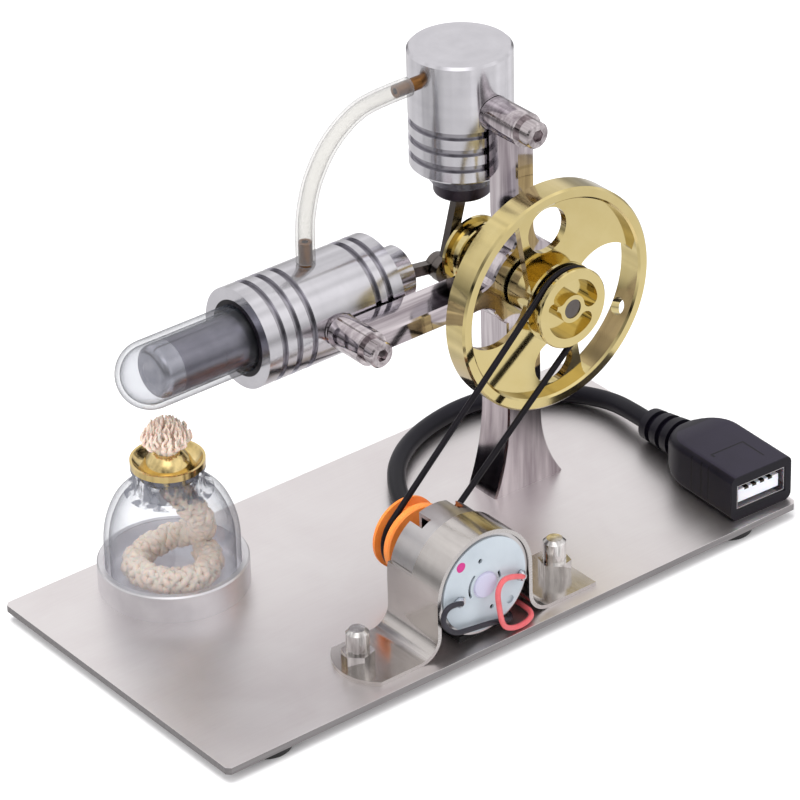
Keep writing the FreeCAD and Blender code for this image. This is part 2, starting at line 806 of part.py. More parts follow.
def make_drive_pulley():
    root = drive_pitch_radius - belt_radius - belt_gap
    profile = grooved_profile(drive_flange_radius, root, drive_front_flange, groove_width,
                              drive_rear_flange, brass_edge)
    pulley = turned(profile, crank_x, pulley_front_y, crank_z, Y_AXIS)
    hub = cylinder(hub_radius, drive_hub_length, crank_x, pulley_back_y, crank_z, Y_AXIS)
    pulley = hub_bored(pulley.fuse(hub).removeSplitter(), pulley_front_y, web_front_y - pulley_front_y)
    centre = (crank_x, crank_z)
    kidney_width = kidney_outer - kidney_inner
    kidney_middle = (kidney_outer + kidney_inner) / 2
    for start in (kidney_start, kidney_start + 180):
        pulley = pulley.cut(rounded_slot(kidney_middle, kidney_width, start, start + kidney_span,
                                         pulley_front_y, kidney_depth, centre))
    hole_x, hole_z = polar(centre, index_hole_offset, index_hole_angle)
    pulley = pulley.cut(cylinder(index_hole_radius, kidney_depth, hole_x, pulley_front_y, hole_z, Y_AXIS))
    pulley = pulley.cut(radial_cylinder(set_screw_radius, 0, hub_radius + 1, pulley_screw_y, hub_screw_angle))
    save("drive_pulley", [pulley])


def make_crank_disc():
    groove = crank_disc_width - 2 * crank_disc_flange
    profile = grooved_profile(crank_disc_radius, crank_disc_groove_radius, crank_disc_flange, groove,
                              crank_disc_flange, brass_edge)
    front = disc_back_y - crank_disc_width
    disc = hub_bored(turned(profile, crank_x, front, crank_z, Y_AXIS), front, crank_disc_width)
    disc = disc.cut(radial_cylinder(set_screw_radius, 0, crank_disc_groove_radius + 1, disc_screw_y,
                                    disc_screw_angle))
    save("crank_disc", [disc])


def make_shaft():
    save("main_shaft", [cylinder(shaft_radius, shaft_back_y - pulley_front_y - shaft_recess,
                                 crank_x, pulley_front_y + shaft_recess, crank_z, Y_AXIS)])
    save("shaft_collars", [
        crank_ring(collar_radius, shaft_radius, hub_back_y, front_collar_length),
        crank_ring(collar_radius, shaft_radius, frame_back_y, rear_collar_length),
    ])
    save("set_screws", [set_screw(*place) for place in set_screw_places])


# ---------------------------------------------------------------- rods and pins


def flat_rod(length, width, near_end, far_end, near_hole, far_hole, y, angle, x, z):
    """Bar from a pin at (x, z) towards an angle in degrees, eyes at both ends."""
    bar = fused([
        block((0, length), (y, y + rod_thickness), (-width / 2, width / 2)),
        cylinder(near_end, rod_thickness, 0, y, 0, Y_AXIS),
        cylinder(far_end, rod_thickness, length, y, 0, Y_AXIS),
    ])
    bar = bar.cut(cylinder(near_hole, rod_thickness, 0, y, 0, Y_AXIS))
    bar = bar.cut(cylinder(far_hole, rod_thickness, length, y, 0, Y_AXIS))
    bar.rotate(V(0, 0, 0), Y_AXIS, -angle)
    bar.translate(V(x, 0, z))
    return bar


def make_rods():
    power_angle = math.degrees(math.atan2(crank_pin_z - wrist_z, crank_pin_x - crank_x))
    save("power_rod", [flat_rod(power_rod_length, power_rod_width, power_rod_small_end,
                                power_rod_big_end, wrist_pin_radius + running_clearance,
                                crank_pin_radius, rod_front_y, power_angle, crank_x, wrist_z)])
    link_angle = math.degrees(math.atan2(crank_pin_z - crank_z, crank_pin_x - link_pin_x))
    save("displacer_link", [flat_rod(displacer_link_length, displacer_link_width,
                                     displacer_link_small_end, displacer_link_big_end,
                                     link_pin_radius + running_clearance, crank_pin_radius,
                                     link_front_y, link_angle, link_pin_x, crank_z)])
    # The crank pin is in two halves, one in each rod, because the linkage opens here.
    inner_start = disc_back_y + side_gap / 2
    inner_end = link_front_y - side_gap / 2
    save("crank_pin_inner", [cylinder(crank_pin_radius, inner_end - inner_start,
                                      crank_pin_x, inner_start, crank_pin_z, Y_AXIS)])
    head = cylinder(crank_pin_head_radius, crank_pin_head_height, crank_pin_x, link_back_y,
                    crank_pin_z, Y_AXIS)
    rim = [edge for edge in head.Edges if edge.BoundBox.YMin > link_back_y + 0.01]
    head = head.makeFillet(crank_pin_head_round, rim[:1])
    stem = cylinder(crank_pin_radius, rod_thickness, crank_pin_x, link_front_y, crank_pin_z, Y_AXIS)
    save("crank_pin_outer", [head.fuse(stem).removeSplitter()])


# ---------------------------------------------------------------- displacer side


def along_x(radius, start, end):
    return cylinder(radius, end - start, start, cylinder_y, crank_z, X_AXIS)


def spot_face(cylinder_radius, x, z):
    """Flat-bottomed pocket and tapped hole that take one cylinder bolt."""
    pocket = cylinder(boss_radius + spot_face_clearance, cylinder_radius, x,
                      spot_face_y - cylinder_radius, z, Y_AXIS)
    hole = cylinder(screw_radius, bolt_grip, x, spot_face_y, z, Y_AXIS)
    return pocket.fuse(hole)


def make_displacer_cylinder():
    front = displacer_cylinder_front
    rear = displacer_cylinder_rear
    sleeve_end = rear + displacer_sleeve_length
    seat = hot_cap_radius + hot_cap_fit
    sleeve_bore = displacer_sleeve_radius - displacer_sleeve_wall
    body = along_x(displacer_cylinder_radius, front, rear)
    grooves = [front + offset for offset in fin_groove_front]
    grooves += [rear - offset - fin_groove_width for offset in fin_groove_rear]
    cuts = [tube(displacer_cylinder_radius + 1, displacer_cylinder_radius - fin_groove_depth,
                 fin_groove_width, start, cylinder_y, crank_z, X_AXIS) for start in grooves]
    cuts += [
        along_x(hot_cap_radius + seal_width, front, front + seal_length),
        along_x(seat, front, hot_cap_end_x),
        along_x(cold_bore_radius, hot_cap_end_x, partition_front),
        along_x(guide_bush_radius, partition_front, partition_rear),
        along_x(sleeve_bore, partition_rear, rear),
        spot_face(displacer_cylinder_radius, arm_bolt_x, crank_z),
        cylinder(nipple_radius, displacer_cylinder_radius, arm_bolt_x, cylinder_y,
                 crank_z + cold_bore_radius - 1, Z_AXIS),
    ]
    save("displacer_cylinder", [body.cut(cuts)])
    sleeve = along_x(displacer_sleeve_radius, rear, sleeve_end)
    save("displacer_sleeve", [sleeve.cut(along_x(sleeve_bore, rear, sleeve_end))])
    save("guide_bush", [tube(guide_bush_radius, displacer_rod_radius + running_clearance,
                             partition_length, partition_front, cylinder_y, crank_z, X_AXIS)])
    save("hot_cap_seal", [tube(hot_cap_radius + seal_width, hot_cap_radius, seal_length,
                               front, cylinder_y, crank_z, X_AXIS)])


def domed_rod(radius, tip, end):
    """Round bar along X with a hemispherical end at the tip."""
    ball = Part.makeSphere(radius, V(tip + radius, cylinder_y, crank_z))
    return ball.fuse(along_x(radius, tip + radius, end)).removeSplitter()


def make_hot_cap():
    outer = domed_rod(hot_cap_radius, hot_cap_tip_x, hot_cap_end_x)
    inner = domed_rod(hot_cap_radius - hot_cap_wall, hot_cap_tip_x + hot_cap_wall, hot_cap_end_x)
    save("hot_cap", [outer.cut(inner)])


def make_displacer():
    cap = along_x(displacer_radius, displacer_front_x, displacer_front_x + displacer_cap_length)
    rim = [edge for edge in cap.Edges if edge.BoundBox.XMax < displacer_front_x + 0.01]
    save("displacer_cap", [cap.makeFillet(displacer_edge, rim)])
    save("displacer", [along_x(displacer_radius, displacer_front_x + displacer_cap_length,
                               displacer_back_x)])
    tongue_end = link_pin_x + tongue_overhang
    round_part = along_x(displacer_rod_radius, displacer_back_x, tongue_start_x)
    half = tongue_width / 2
    root = block((tongue_start_x, tongue_start_x + tongue_root), (rod_front_y, link_back_y), (-half, half))
    tongue = block((tongue_start_x, tongue_end), (rod_front_y, rod_back_y), (-half, half))
    head = fused([root, tongue])
    head.translate(V(0, 0, crank_z))
    rod = fused([round_part, head])
    rod = rod.cut(cylinder(link_pin_radius, rod_thickness, link_pin_x, rod_front_y, crank_z, Y_AXIS))
    save("displacer_rod", [rod])
    stem = cylinder(link_pin_radius, link_back_y + side_gap / 3 - rod_front_y, link_pin_x, rod_front_y,
                    crank_z, Y_AXIS)
    head = cylinder(link_pin_head_radius, link_pin_head_height, link_pin_x,
                    link_back_y + side_gap / 3, crank_z, Y_AXIS)
    save("link_pin", [stem.fuse(head).removeSplitter()])


# ---------------------------------------------------------------- power side


def upright(radius, bottom, top):
    return cylinder(radius, top - bottom, crank_x, cylinder_y, bottom, Z_AXIS)


def make_power_cylinder():
    body = upright(power_cylinder_radius, cylinder_bottom_z, cylinder_top_z)
    body = body.makeChamfer(power_cylinder_edge, [edge for edge in body.Edges
                                                  if edge.BoundBox.ZLength < 1e-4])
    chamber_top = cylinder_top_z - power_cylinder_roof
    cuts = []
    for index in range(3):
        middle = cylinder_bottom_z + power_groove_first + index * power_groove_pitch
        cuts.append(tube(power_cylinder_radius + 1, power_cylinder_radius - power_groove_depth,
                         power_groove_width, crank_x, cylinder_y, middle - power_groove_width / 2, Z_AXIS))
    cuts += [
        upright(liner_radius, cylinder_bottom_z, liner_top_z),
        upright(liner_bore, liner_top_z, chamber_top),
        cylinder(nipple_radius, power_cylinder_radius, crank_x - power_cylinder_radius, cylinder_y,
                 upper_nipple_z, X_AXIS),
        spot_face(power_cylinder_radius, crank_x, upright_bolt_z),
    ]
    save("power_cylinder", [body.cut(cuts)])
    save("cylinder_liner", [upright(liner_radius, liner_bottom_z, liner_top_z)
                            .cut(upright(liner_bore, liner_bottom_z, liner_top_z))])


def make_piston():
    top = piston_bottom_z + piston_length
    body = upright(piston_radius, piston_bottom_z, top)
    rims = [edge for edge in body.Edges if edge.BoundBox.ZLength < 1e-4]
    body = body.makeFillet(piston_edge, rims)
    body = body.cut(upright(piston_radius - piston_skirt_wall, piston_bottom_z, top - piston_crown))
    pin_start = cylinder_y - piston_radius + wrist_pin_inset
    pin_length = 2 * (piston_radius - wrist_pin_inset)
    pin = cylinder(wrist_pin_radius, pin_length, crank_x, pin_start, wrist_z, Y_AXIS)
    save("power_piston", [body.cut(pin)])
    save("wrist_pin", [pin])


# ---------------------------------------------------------------- hose


nipple_x_end = crank_x - power_cylinder_radius - nipple_reach_side
nipple_z_end = crank_z + displacer_cylinder_radius + nipple_reach_top
hose_route = [
    V(arm_bolt_x, hose_plane_y, nipple_z_end - hose_overlap_top),
    V(arm_bolt_x, hose_plane_y, nipple_z_end + hose_lead_in),
    *[V(arm_bolt_x + share_x * (nipple_x_end - arm_bolt_x), hose_plane_y,
        nipple_z_end + share_z * (upper_nipple_z - nipple_z_end)) for share_x, share_z in hose_bow],
    V(nipple_x_end + hose_overlap_side, hose_plane_y, upper_nipple_z),
]


def nipple(length, x, z, direction):
    return tube(nipple_radius, nipple_bore, length, x, hose_plane_y, z, direction)


def make_hose():
    side_length = nipple_reach_side + nipple_root
    top_length = nipple_reach_top + nipple_root
    save("hose_nipples", [
        nipple(side_length, nipple_x_end, upper_nipple_z, X_AXIS),
        nipple(top_length, arm_bolt_x, nipple_z_end - top_length, Z_AXIS),
    ])
    outer = swept(hose_route, hose_radius, "silicone_hose")
    inner = swept(hose_route, nipple_radius, "hose bore")
    save("silicone_hose", [outer.cut(inner)])


# ---------------------------------------------------------------- generator


def motor_bar(radius, start, end):
    return cylinder(radius, end - start, motor_x, start, motor_z, Y_AXIS)


def at_motor(x, z):
    return motor_x + x, motor_z + z


def make_motor():
    can_front = motor_front_y + motor_lip
    bore = motor_radius - motor_wall
    cap_back = motor_front_y + cap_thickness
    can = motor_bar(motor_radius, can_front, motor_back_y)
    can = can.fuse(motor_bar(motor_boss_radius, motor_back_y, motor_back_y + motor_boss_length))
    can = can.removeSplitter()
    can = can.cut([motor_bar(bore, can_front, motor_back_y - motor_wall),
                   motor_bar(bush_radius, motor_back_y - motor_wall, motor_back_y + motor_boss_length)])
    notch_y = motor_back_y - can_notch[1]
    for side in (-1, 1):
        x = motor_x + side * can_notch_spread
        can = can.cut(block((x - can_notch[0] / 2, x + can_notch[0] / 2), (notch_y, motor_back_y),
                            (motor_z + motor_boss_radius, motor_z + motor_radius)))
    save("motor_can", [can])

    cap = motor_bar(bore, motor_front_y, cap_back)
    boss = motor_bar(cap_boss_radius, motor_front_y - cap_boss_height, motor_front_y)
    rim = [edge for edge in boss.Edges if edge.BoundBox.YMax < motor_front_y - 0.01]
    cap = cap.fuse(boss.makeFillet(cap_boss_round, rim)).removeSplitter()
    cuts = [rounded_slot(cap_slot_radius, cap_slot_width, start, end, motor_front_y, cap_thickness,
                         (motor_x, motor_z)) for start, end in cap_slot_spans]
    for place in cap_hole_places:
        x, z = at_motor(*place)
        cuts.append(cylinder(cap_hole_radius, cap_thickness, x, motor_front_y, z, Y_AXIS))
    dimple_x, dimple_z = at_motor(*cap_dimple_place)
    cuts.append(cylinder(cap_dimple_radius, cap_dimple_depth, dimple_x, motor_front_y, dimple_z, Y_AXIS))
    cuts.append(motor_bar(bush_radius, motor_front_y + motor_lip, cap_back))
    save("motor_end_cap", [cap.cut(cuts)])

    terminals = []
    for place in terminal_places:
        x, z = at_motor(*place)
        terminals.append(block((x - terminal_width / 2, x + terminal_width / 2),
                               (motor_front_y - terminal_height, motor_front_y),
                               (z - terminal_depth / 2, z + terminal_depth / 2)))
    save("motor_terminals", terminals)

    shaft_front = motor_front_y + motor_lip + side_gap
    front_bush = (motor_front_y + motor_lip, cap_back)
    rear_bush = (motor_back_y - motor_wall, motor_back_y + motor_boss_length)
    bush_bore = motor_shaft_radius + running_clearance
    save("motor_bushes", [motor_bar(bush_radius, *span).cut(motor_bar(bush_bore, *span))
                          for span in (front_bush, rear_bush)])
    save("motor_shaft", [motor_bar(motor_shaft_radius, shaft_front, motor_shaft_back_y)])

    middle = (cap_back + motor_back_y - motor_wall) / 2
    magnets = [sector(bore - magnet_thickness, bore, angle - magnet_span / 2, angle + magnet_span / 2,
                      middle - magnet_length / 2, magnet_length, (motor_x, motor_z)) for angle in (0, 180)]
    save("motor_magnets", magnets)
    core_front = middle - armature_length / 2
    core = motor_bar(armature_radius, core_front, core_front + armature_length)
    core = core.cut(motor_bar(motor_shaft_radius, core_front, core_front + armature_length))
    for angle in (90, 210, 330):
        slot = block((armature_radius / 2, armature_radius + 1), (core_front, core_front + armature_length),
                     (-armature_slot / 2, armature_slot / 2))
        slot.rotate(V(0, 0, 0), Y_AXIS, -angle)
        slot.translate(V(motor_x, 0, motor_z))
        core = core.cut(slot)
    save("motor_armature", [core])

    pad_middle_y = motor_front_y + motor_length / 2
    save("motor_pad", [block((motor_x - pad_width / 2, motor_x + pad_width / 2),
                             (pad_middle_y - pad_length / 2, pad_middle_y + pad_length / 2),
                             (plate_top, motor_z - motor_radius))])


def make_generator_pulley():
    root = generator_pitch_radius - belt_radius - belt_gap
    profile = grooved_profile(generator_flange_radius, root, generator_front_flange, groove_width,
                              generator_rear_flange, generator_edge)
    front = generator_belt_y - groove_width / 2 - generator_front_flange
    pulley = turned(profile, motor_x, front, motor_z, Y_AXIS)
    save("generator_pulley", [pulley.cut(motor_bar(motor_shaft_radius, front, motor_shaft_back_y))])


def strap_band(start, end):
    """The omega strap from end to end, feet included."""
    inner = strap_inner
    outer = inner + strap_thickness
    bend_outer = strap_bend_radius + strap_thickness
    bend_z = plate_top + bend_outer
    lean = math.sqrt(0.5)
    edges = []
    for side, reach in ((-1, strap_foot_left), (1, strap_foot_right)):
        inner_x = motor_x + side * inner
        outer_x = motor_x + side * outer
        bend_x = inner_x + side * bend_outer
        end_x = motor_x + side * reach
        edges += [
            line((inner_x, motor_z), (inner_x, bend_z)),
            arc((inner_x, bend_z), (bend_x - side * bend_outer * lean, bend_z - bend_outer * lean),
                (bend_x, plate_top)),
            line((bend_x, plate_top), (end_x, plate_top)),
            line((end_x, plate_top), (end_x, strap_top_z)),
            line((end_x, strap_top_z), (bend_x, strap_top_z)),
            arc((bend_x, strap_top_z),
                (bend_x - side * strap_bend_radius * lean, bend_z - strap_bend_radius * lean),
                (outer_x, bend_z)),
            line((outer_x, bend_z), (outer_x, motor_z)),
        ]
    for radius in (inner, outer):
        edges.append(arc((motor_x - radius, motor_z), (motor_x, motor_z + radius),
                         (motor_x + radius, motor_z)))
    return slab(edges, start, end - start)


def make_strap():
    strap = strap_band(strap_front_y, strap_back_y)
    middle_y = (strap_front_y + strap_back_y) / 2
    half_width = (strap_back_y - strap_front_y) / 2
    left_centre = motor_x - strap_foot_left + strap_end_radius
    right_end = motor_x + strap_foot_right
    height = 2 * (motor_z + motor_radius)
    plan = cylinder(strap_end_radius, height, left_centre, middle_y, 0, Z_AXIS)
    plan = plan.fuse(block((left_centre, right_end), (middle_y - half_width - 1, middle_y + half_width + 1),
                           (0, height)))
    cuts = [cylinder(screw_radius, strap_thickness, x, y, plate_top, Z_AXIS) for x, y in stud_places]
    cuts.append(block((motor_x - strap_inner - 2 * strap_thickness, motor_x + strap_inner + 2 * strap_thickness),
                      (strap_middle_y, strap_back_y), (motor_z + strap_leg_rise, height)))
    save("motor_strap", [strap.common(plan).cut(cuts)])


def make_strap_fasteners():
    hex_top = strap_top_z + nut_hex_height
    studs = []
    nuts = []
    for x, y in stud_places:
        stud_top = strap_top_z + stud_reach
        shank = cylinder(screw_radius, stud_top - plate_top, x, y, plate_top, Z_AXIS)
        studs.append(countersunk_hole(x, y).fuse(shank).removeSplitter())
        base = hexagon(nut_across_flats, nut_hex_height, x, y, strap_top_z, Z_AXIS, spin=nut_turn)
        dome = cylinder(nut_dome_radius, nut_dome_height, x, y, hex_top, Z_AXIS)
        rim = [edge for edge in dome.Edges if edge.BoundBox.ZMin > hex_top + 0.01]
        dome = dome.makeChamfer(nut_dome_edge, [edge for edge in rim if edge.BoundBox.ZLength < 1e-4])
        nut = base.fuse(dome)
        nuts.append(nut.cut(cylinder(screw_radius, stud_reach, x, y, strap_top_z, Z_AXIS)))
    save("strap_studs", studs)
    save("strap_cap_nuts", nuts)


# ---------------------------------------------------------------- belt


def make_belt():
    """A round belt, built level and then leant from the drive groove to the generator's."""
    start = V(crank_x, belt_y, crank_z)
    along = V(motor_x - crank_x, 0, motor_z - crank_z)
    lean = math.degrees(math.atan2(generator_groove_lead, along.Length))
    distance = math.hypot(along.Length, generator_groove_lead)
    along.normalize()
    across = V(-along.z, 0, along.x)
    end = start + along * distance
    cosine = (drive_pitch_radius - generator_pitch_radius) / distance
    sine = math.sqrt(1 - cosine ** 2)
    pieces = []
    normals = [along * cosine + across * side * sine for side in (1, -1)]
    for normal in normals:
        run_start = start + normal * drive_pitch_radius
        run_end = end + normal * generator_pitch_radius
        run = run_end - run_start
        pieces.append(Part.makeCylinder(belt_radius, run.Length, run_start, run))
    half_wrap = math.degrees(math.acos(cosine))
    heading = math.degrees(math.atan2(along.z, along.x))
    for centre, pitch, middle, wrap in ((start, drive_pitch_radius, heading + 180, 360 - 2 * half_wrap),
                                        (end, generator_pitch_radius, heading, 2 * half_wrap)):
        x, z = polar((centre.x, centre.z), pitch, middle + wrap / 2)
        tangent = V(*(V(0, 1, 0).cross(V(x - centre.x, 0, z - centre.z))))
        ring = Part.Face(Part.Wire([Part.makeCircle(belt_radius, V(x, centre.y, z), tangent)]))
        pieces.append(ring.revolve(centre, Y_AXIS, wrap))
    belt = fused(pieces)
    belt.rotate(start, across, -lean)
    save("drive_belt", [belt])


# ---------------------------------------------------------------- USB outlet and wires


cable_z = plate_top + cable_radius
usb_placement = FreeCAD.Placement(V(usb_x, usb_y, plate_top), FreeCAD.Rotation(Z_AXIS, usb_yaw))
relief_length = relief_ribs * relief_pitch
usb_length = usb_straight + usb_shoulder + relief_length
cable_exit = usb_placement.multVec(V(0, usb_length, relief_height[1]))
cable_after_exit = usb_placement.multVec(V(0, usb_length + cable_lead_out, relief_height[1]))
cable_route = [
    V(motor_x + 8.5, motor_back_y + 1.0, cable_z),
    V(3.2, -8.5, cable_z),
    V(4.5, -1.5, cable_z),
    V(6.2, 5.5, cable_z),
    V(8.7, 12.2, cable_z),
    V(12.2, 18.4, cable_z),
    V(17.0, 24.3, cable_z),
    V(24.0, 29.2, cable_z),
    V(32.8, 32.2, cable_z),
    V(42.8, 33.2, cable_z),
    V(53.6, 30.4, cable_z),
    V(61.4, 23.0, cable_z),
    V(64.9, 14.6, cable_z + 0.6),
    cable_after_exit,
    cable_exit,
]


def placed(shape):
    shape.Placement = usb_placement.multiply(shape.Placement)
    return shape


def section_wire(width, height, y, middle_z, corner):
    """Rounded rectangle across Y, centred on X and on a height."""
    bar = rounded_block(width, height, 1.0, corner)
    face = [face for face in bar.Faces if abs(face.normalAt(0, 0).y) > 0.9 and face.CenterOfMass.y < 0.5][0]
    wire = face.OuterWire
    wire.translate(V(0, y, middle_z - height / 2))
    return wire


def usb_cavity(width, height, start, length):
    low = (usb_height - height) / 2
    return block((-width / 2, width / 2), (start, start + length), (low, low + height))


def relief_cone(radii, start, end):
    """A length of the strain relief, which narrows and droops from the plug to the cable."""
    rings = []
    for reach in (start, end):
        share = reach / relief_length
        radius = radii[0] + share * (radii[1] - radii[0])
        height = relief_height[0] + share * (relief_height[1] - relief_height[0])
        centre = V(0, usb_straight + usb_shoulder + reach, height)
        rings.append(Part.Wire([Part.makeCircle(radius, centre, Y_AXIS)]))
    return Part.makeLoft(rings, True, True)


def make_usb():
    shoulder_end = usb_straight + usb_shoulder
    straight = rounded_block(usb_width, usb_height, usb_straight, usb_corner)
    profiles = [
        section_wire(usb_width, usb_height, usb_straight, usb_height / 2, usb_corner),
        section_wire(shoulder_middle[0], shoulder_middle[1], usb_straight + shoulder_middle[2],
                     usb_height / 2, shoulder_middle_corner),
        section_wire(2 * relief_radius[0], 2 * relief_radius[0], shoulder_end, relief_height[0],
                     shoulder_end_corner),
    ]
    shoulder = Part.makeLoft(profiles, True, False)
    pieces = [straight, shoulder, relief_cone(relief_core_radius, 0, relief_length)]
    for index in range(relief_ribs):
        rib_end = (index + 1) * relief_pitch
        pieces.append(relief_cone(relief_radius, rib_end - relief_rib, rib_end))
    body = fused(pieces).cut(usb_cavity(usb_shell_width, usb_shell_height, 0, usb_shell_length))
    save("usb_body", [placed(body)])

    inner_width = usb_shell_width - 2 * usb_shell_wall
    inner_height = usb_shell_height - 2 * usb_shell_wall
    shell_depth = usb_shell_length - usb_shell_recess
    shell = usb_cavity(usb_shell_width, usb_shell_height, usb_shell_recess, shell_depth)
    shell = shell.cut(usb_cavity(inner_width, inner_height, usb_shell_recess, shell_depth - usb_shell_wall))
    save("usb_shell", [placed(shell)])

    back = usb_shell_length - usb_shell_wall
    low = usb_height / 2 + usb_tongue_offset - usb_tongue_thickness / 2
    tongue = block((-usb_tongue_width / 2, usb_tongue_width / 2), (usb_tongue_recess, back),
                   (low, low + usb_tongue_thickness))
    contacts = []
    for index in range(4):
        x = (index - 1.5) * contact_pitch
        strip = block((x - contact_width / 2, x + contact_width / 2),
                      (usb_tongue_recess, usb_tongue_recess + contact_length),
                      (low + usb_tongue_thickness - contact_thickness, low + usb_tongue_thickness))
        tongue = tongue.cut(strip)
        contacts.append(placed(strip))
    save("usb_tongue", [placed(tongue)])
    save("usb_contacts", contacts)


wire_entry_y = motor_back_y + wire_tuck
red_route = [
    V(motor_x + 8.5, motor_front_y - 1.1, motor_z - 1.3),
    V(motor_x + 4.3, motor_front_y - 1.3, motor_z + 0.9),
    V(motor_x + 1.5, motor_front_y - 1.7, motor_z - 1.0),
    V(motor_x + 1.7, motor_front_y - 2.1, motor_z - 5.4),
    V(motor_x + 2.4, motor_front_y - 2.3, motor_z - 9.6),
    V(motor_x + 5.4, motor_front_y - 2.3, motor_z - 11.0),
    V(motor_x + 8.6, motor_front_y - 2.2, motor_z - 10.9),
    V(motor_x + 10.6, motor_front_y - 1.2, motor_z - 10.3),
    V(motor_x + 10.7, motor_front_y + 2.6, motor_z - 10.1),
    V(motor_x + 10.2, motor_front_y + 9.0, motor_z - 10.1),
    V(motor_x + 9.4, wire_entry_y, motor_z - 9.8),
]
black_route = [
    V(motor_x - 6.4, motor_front_y - 1.1, motor_z - 1.0),
    V(motor_x - 9.8, motor_front_y - 1.1, motor_z + 0.2),
    V(motor_x - 11.5, motor_front_y - 1.1, motor_z - 3.2),
    V(motor_x - 8.6, motor_front_y - 1.1, motor_z - 7.0),
    V(motor_x - 4.2, motor_front_y - 1.1, motor_z - 7.6),
    V(motor_x + 1.4, motor_front_y - 1.1, motor_z - 8.4),
    V(motor_x + 6.2, motor_front_y - 0.6, motor_z - 10.2),
    V(motor_x + 8.0, motor_front_y + 4.4, motor_z - 10.8),
    V(motor_x + 7.8, motor_front_y + 9.0, motor_z - 10.8),
    V(motor_x + 8.4, motor_front_y + 13.6, motor_z - 10.9),
    V(motor_x + 8.7, wire_entry_y, motor_z - 10.7),
]


def make_leads():
    save("usb_cable", [swept(cable_route, cable_radius, "usb_cable")])
    save("red_wire", [swept(red_route, wire_radius, "red_wire")])
    save("black_wire", [swept(black_route, wire_radius, "black_wire")])


# ---------------------------------------------------------------- spirit lamp


def bottle_wire(inset):
    """Half section of the bottle's skin, moved inwards by a wall; heights above the plate."""
    base = lamp_seat_floor + inset
    sink = shoulder_thinning * inset
    side = bottle_radius - inset
    lean = math.sqrt(0.5)
    shoulder = [(radius - inset, height - sink) for radius, height in
                ((bottle_radius, bottle_straight_top), shoulder_one, shoulder_two, shoulder_three,
                 shoulder_top)]
    neck = neck_radius - inset
    neck_base = (neck, shoulder[4][1] + shoulder_step)
    edges = [
        line((0, base), (side - bottle_foot_round, base)),
        arc((side - bottle_foot_round, base),
            (side - bottle_foot_round * (1 - lean), base + bottle_foot_round * (1 - lean)),
            (side, base + bottle_foot_round)),
        line((side, base + bottle_foot_round), shoulder[0]),
        arc(shoulder[0], shoulder[1], shoulder[2]),
        arc(shoulder[2], shoulder[3], shoulder[4]),
        line(shoulder[4], neck_base),
        line(neck_base, (neck, neck_height)),
        line((neck, neck_height), (0, neck_height)),
        line((0, neck_height), (0, base)),
    ]
    return Part.Wire([edge.toShape() for edge in edges])


def lamp_turned(profile):
    return turned(profile, lamp_x, lamp_y, plate_top, Z_AXIS)


def make_lamp():
    seat = cylinder(lamp_seat_radius, lamp_seat_height, lamp_x, lamp_y, plate_top, Z_AXIS)
    rim = [edge for edge in seat.Edges if edge.BoundBox.ZMin > plate_top + 0.01
           and edge.BoundBox.ZLength < 1e-4]
    seat = seat.makeChamfer(lamp_seat_edge, rim)
    bore = lamp_seat_radius - lamp_seat_wall
    seat = seat.cut([
        cylinder(bore, lamp_seat_height, lamp_x, lamp_y, floor_z, Z_AXIS),
        cylinder(screw_radius, lamp_seat_floor, lamp_x, lamp_y, plate_top, Z_AXIS),
    ])
    save("lamp_seat", [seat])

    bottle = lamp_turned(bottle_wire(0.0))
    inside = neck_radius - bottle_wall / 2
    lip_bottom = neck_height - neck_lip_height
    lip = lamp_turned([(inside, lip_bottom), (neck_radius, lip_bottom),
                       (neck_radius + neck_lip, lip_bottom + neck_lip_slope),
                       (neck_radius + neck_lip, neck_height), (inside, neck_height)])
    bottle = bottle.fuse(lip).cut(lamp_turned(bottle_wire(bottle_wall)))
    save("lamp_bottle", [bottle])


def make_wick():
    tube_bottom = neck_height - holder_tube_length
    tube_bore = holder_tube_radius - holder_wall
    dish_low = neck_height - holder_sink
    edges = [
        line((holder_bore, dish_low), (holder_bore, dish_low - holder_wall)),
        line((holder_bore, dish_low - holder_wall), (tube_bore, dish_low - holder_wall)),
        line((tube_bore, dish_low - holder_wall), (tube_bore, tube_bottom)),
        line((tube_bore, tube_bottom), (holder_tube_radius, tube_bottom)),
        line((holder_tube_radius, tube_bottom), (holder_tube_radius, neck_height)),
        line((holder_tube_radius, neck_height), (holder_radius, neck_height)),
        line((holder_radius, neck_height), (holder_radius, holder_top)),
        line((holder_radius, holder_top), (holder_radius - holder_rim, holder_top)),
        arc((holder_radius - holder_rim, holder_top),
            ((holder_radius + holder_bore) / 2, dish_low + holder_belly),
            (holder_bore, dish_low)),
    ]
    save("wick_holder", [lamp_turned(Part.Wire([edge.toShape() for edge in edges]))])

    tuft_middle = tuft_bottom_z + tuft_radius
    stalk_bottom = plate_top + dish_low - holder_wall
    tuft = Part.makeSphere(tuft_radius, V(lamp_x, lamp_y, tuft_middle))
    stalk = cylinder(wick_radius, tuft_middle - stalk_bottom, lamp_x, lamp_y, stalk_bottom, Z_AXIS)
    save("wick_tuft", [fused([tuft, stalk])])

    coil_z = plate_top + lamp_seat_floor + bottle_wall + coil_section + side_gap / 3
    coil = Part.makeTorus(coil_radius, coil_section, V(lamp_x, lamp_y, coil_z), Z_AXIS)
    reach_x, reach_y = polar((lamp_x, lamp_y), coil_radius, coil_entry_angle)
    strand_route = [
        V(lamp_x, lamp_y, stalk_bottom),
        V(lamp_x, lamp_y, stalk_bottom - strand_drop),
        V((lamp_x + reach_x) / 2, (lamp_y + reach_y) / 2, coil_z + strand_rise),
        V(reach_x, reach_y, coil_z),
    ]
    save("wick_coil", [fused([coil, swept(strand_route, wick_radius, "wick strand")])])


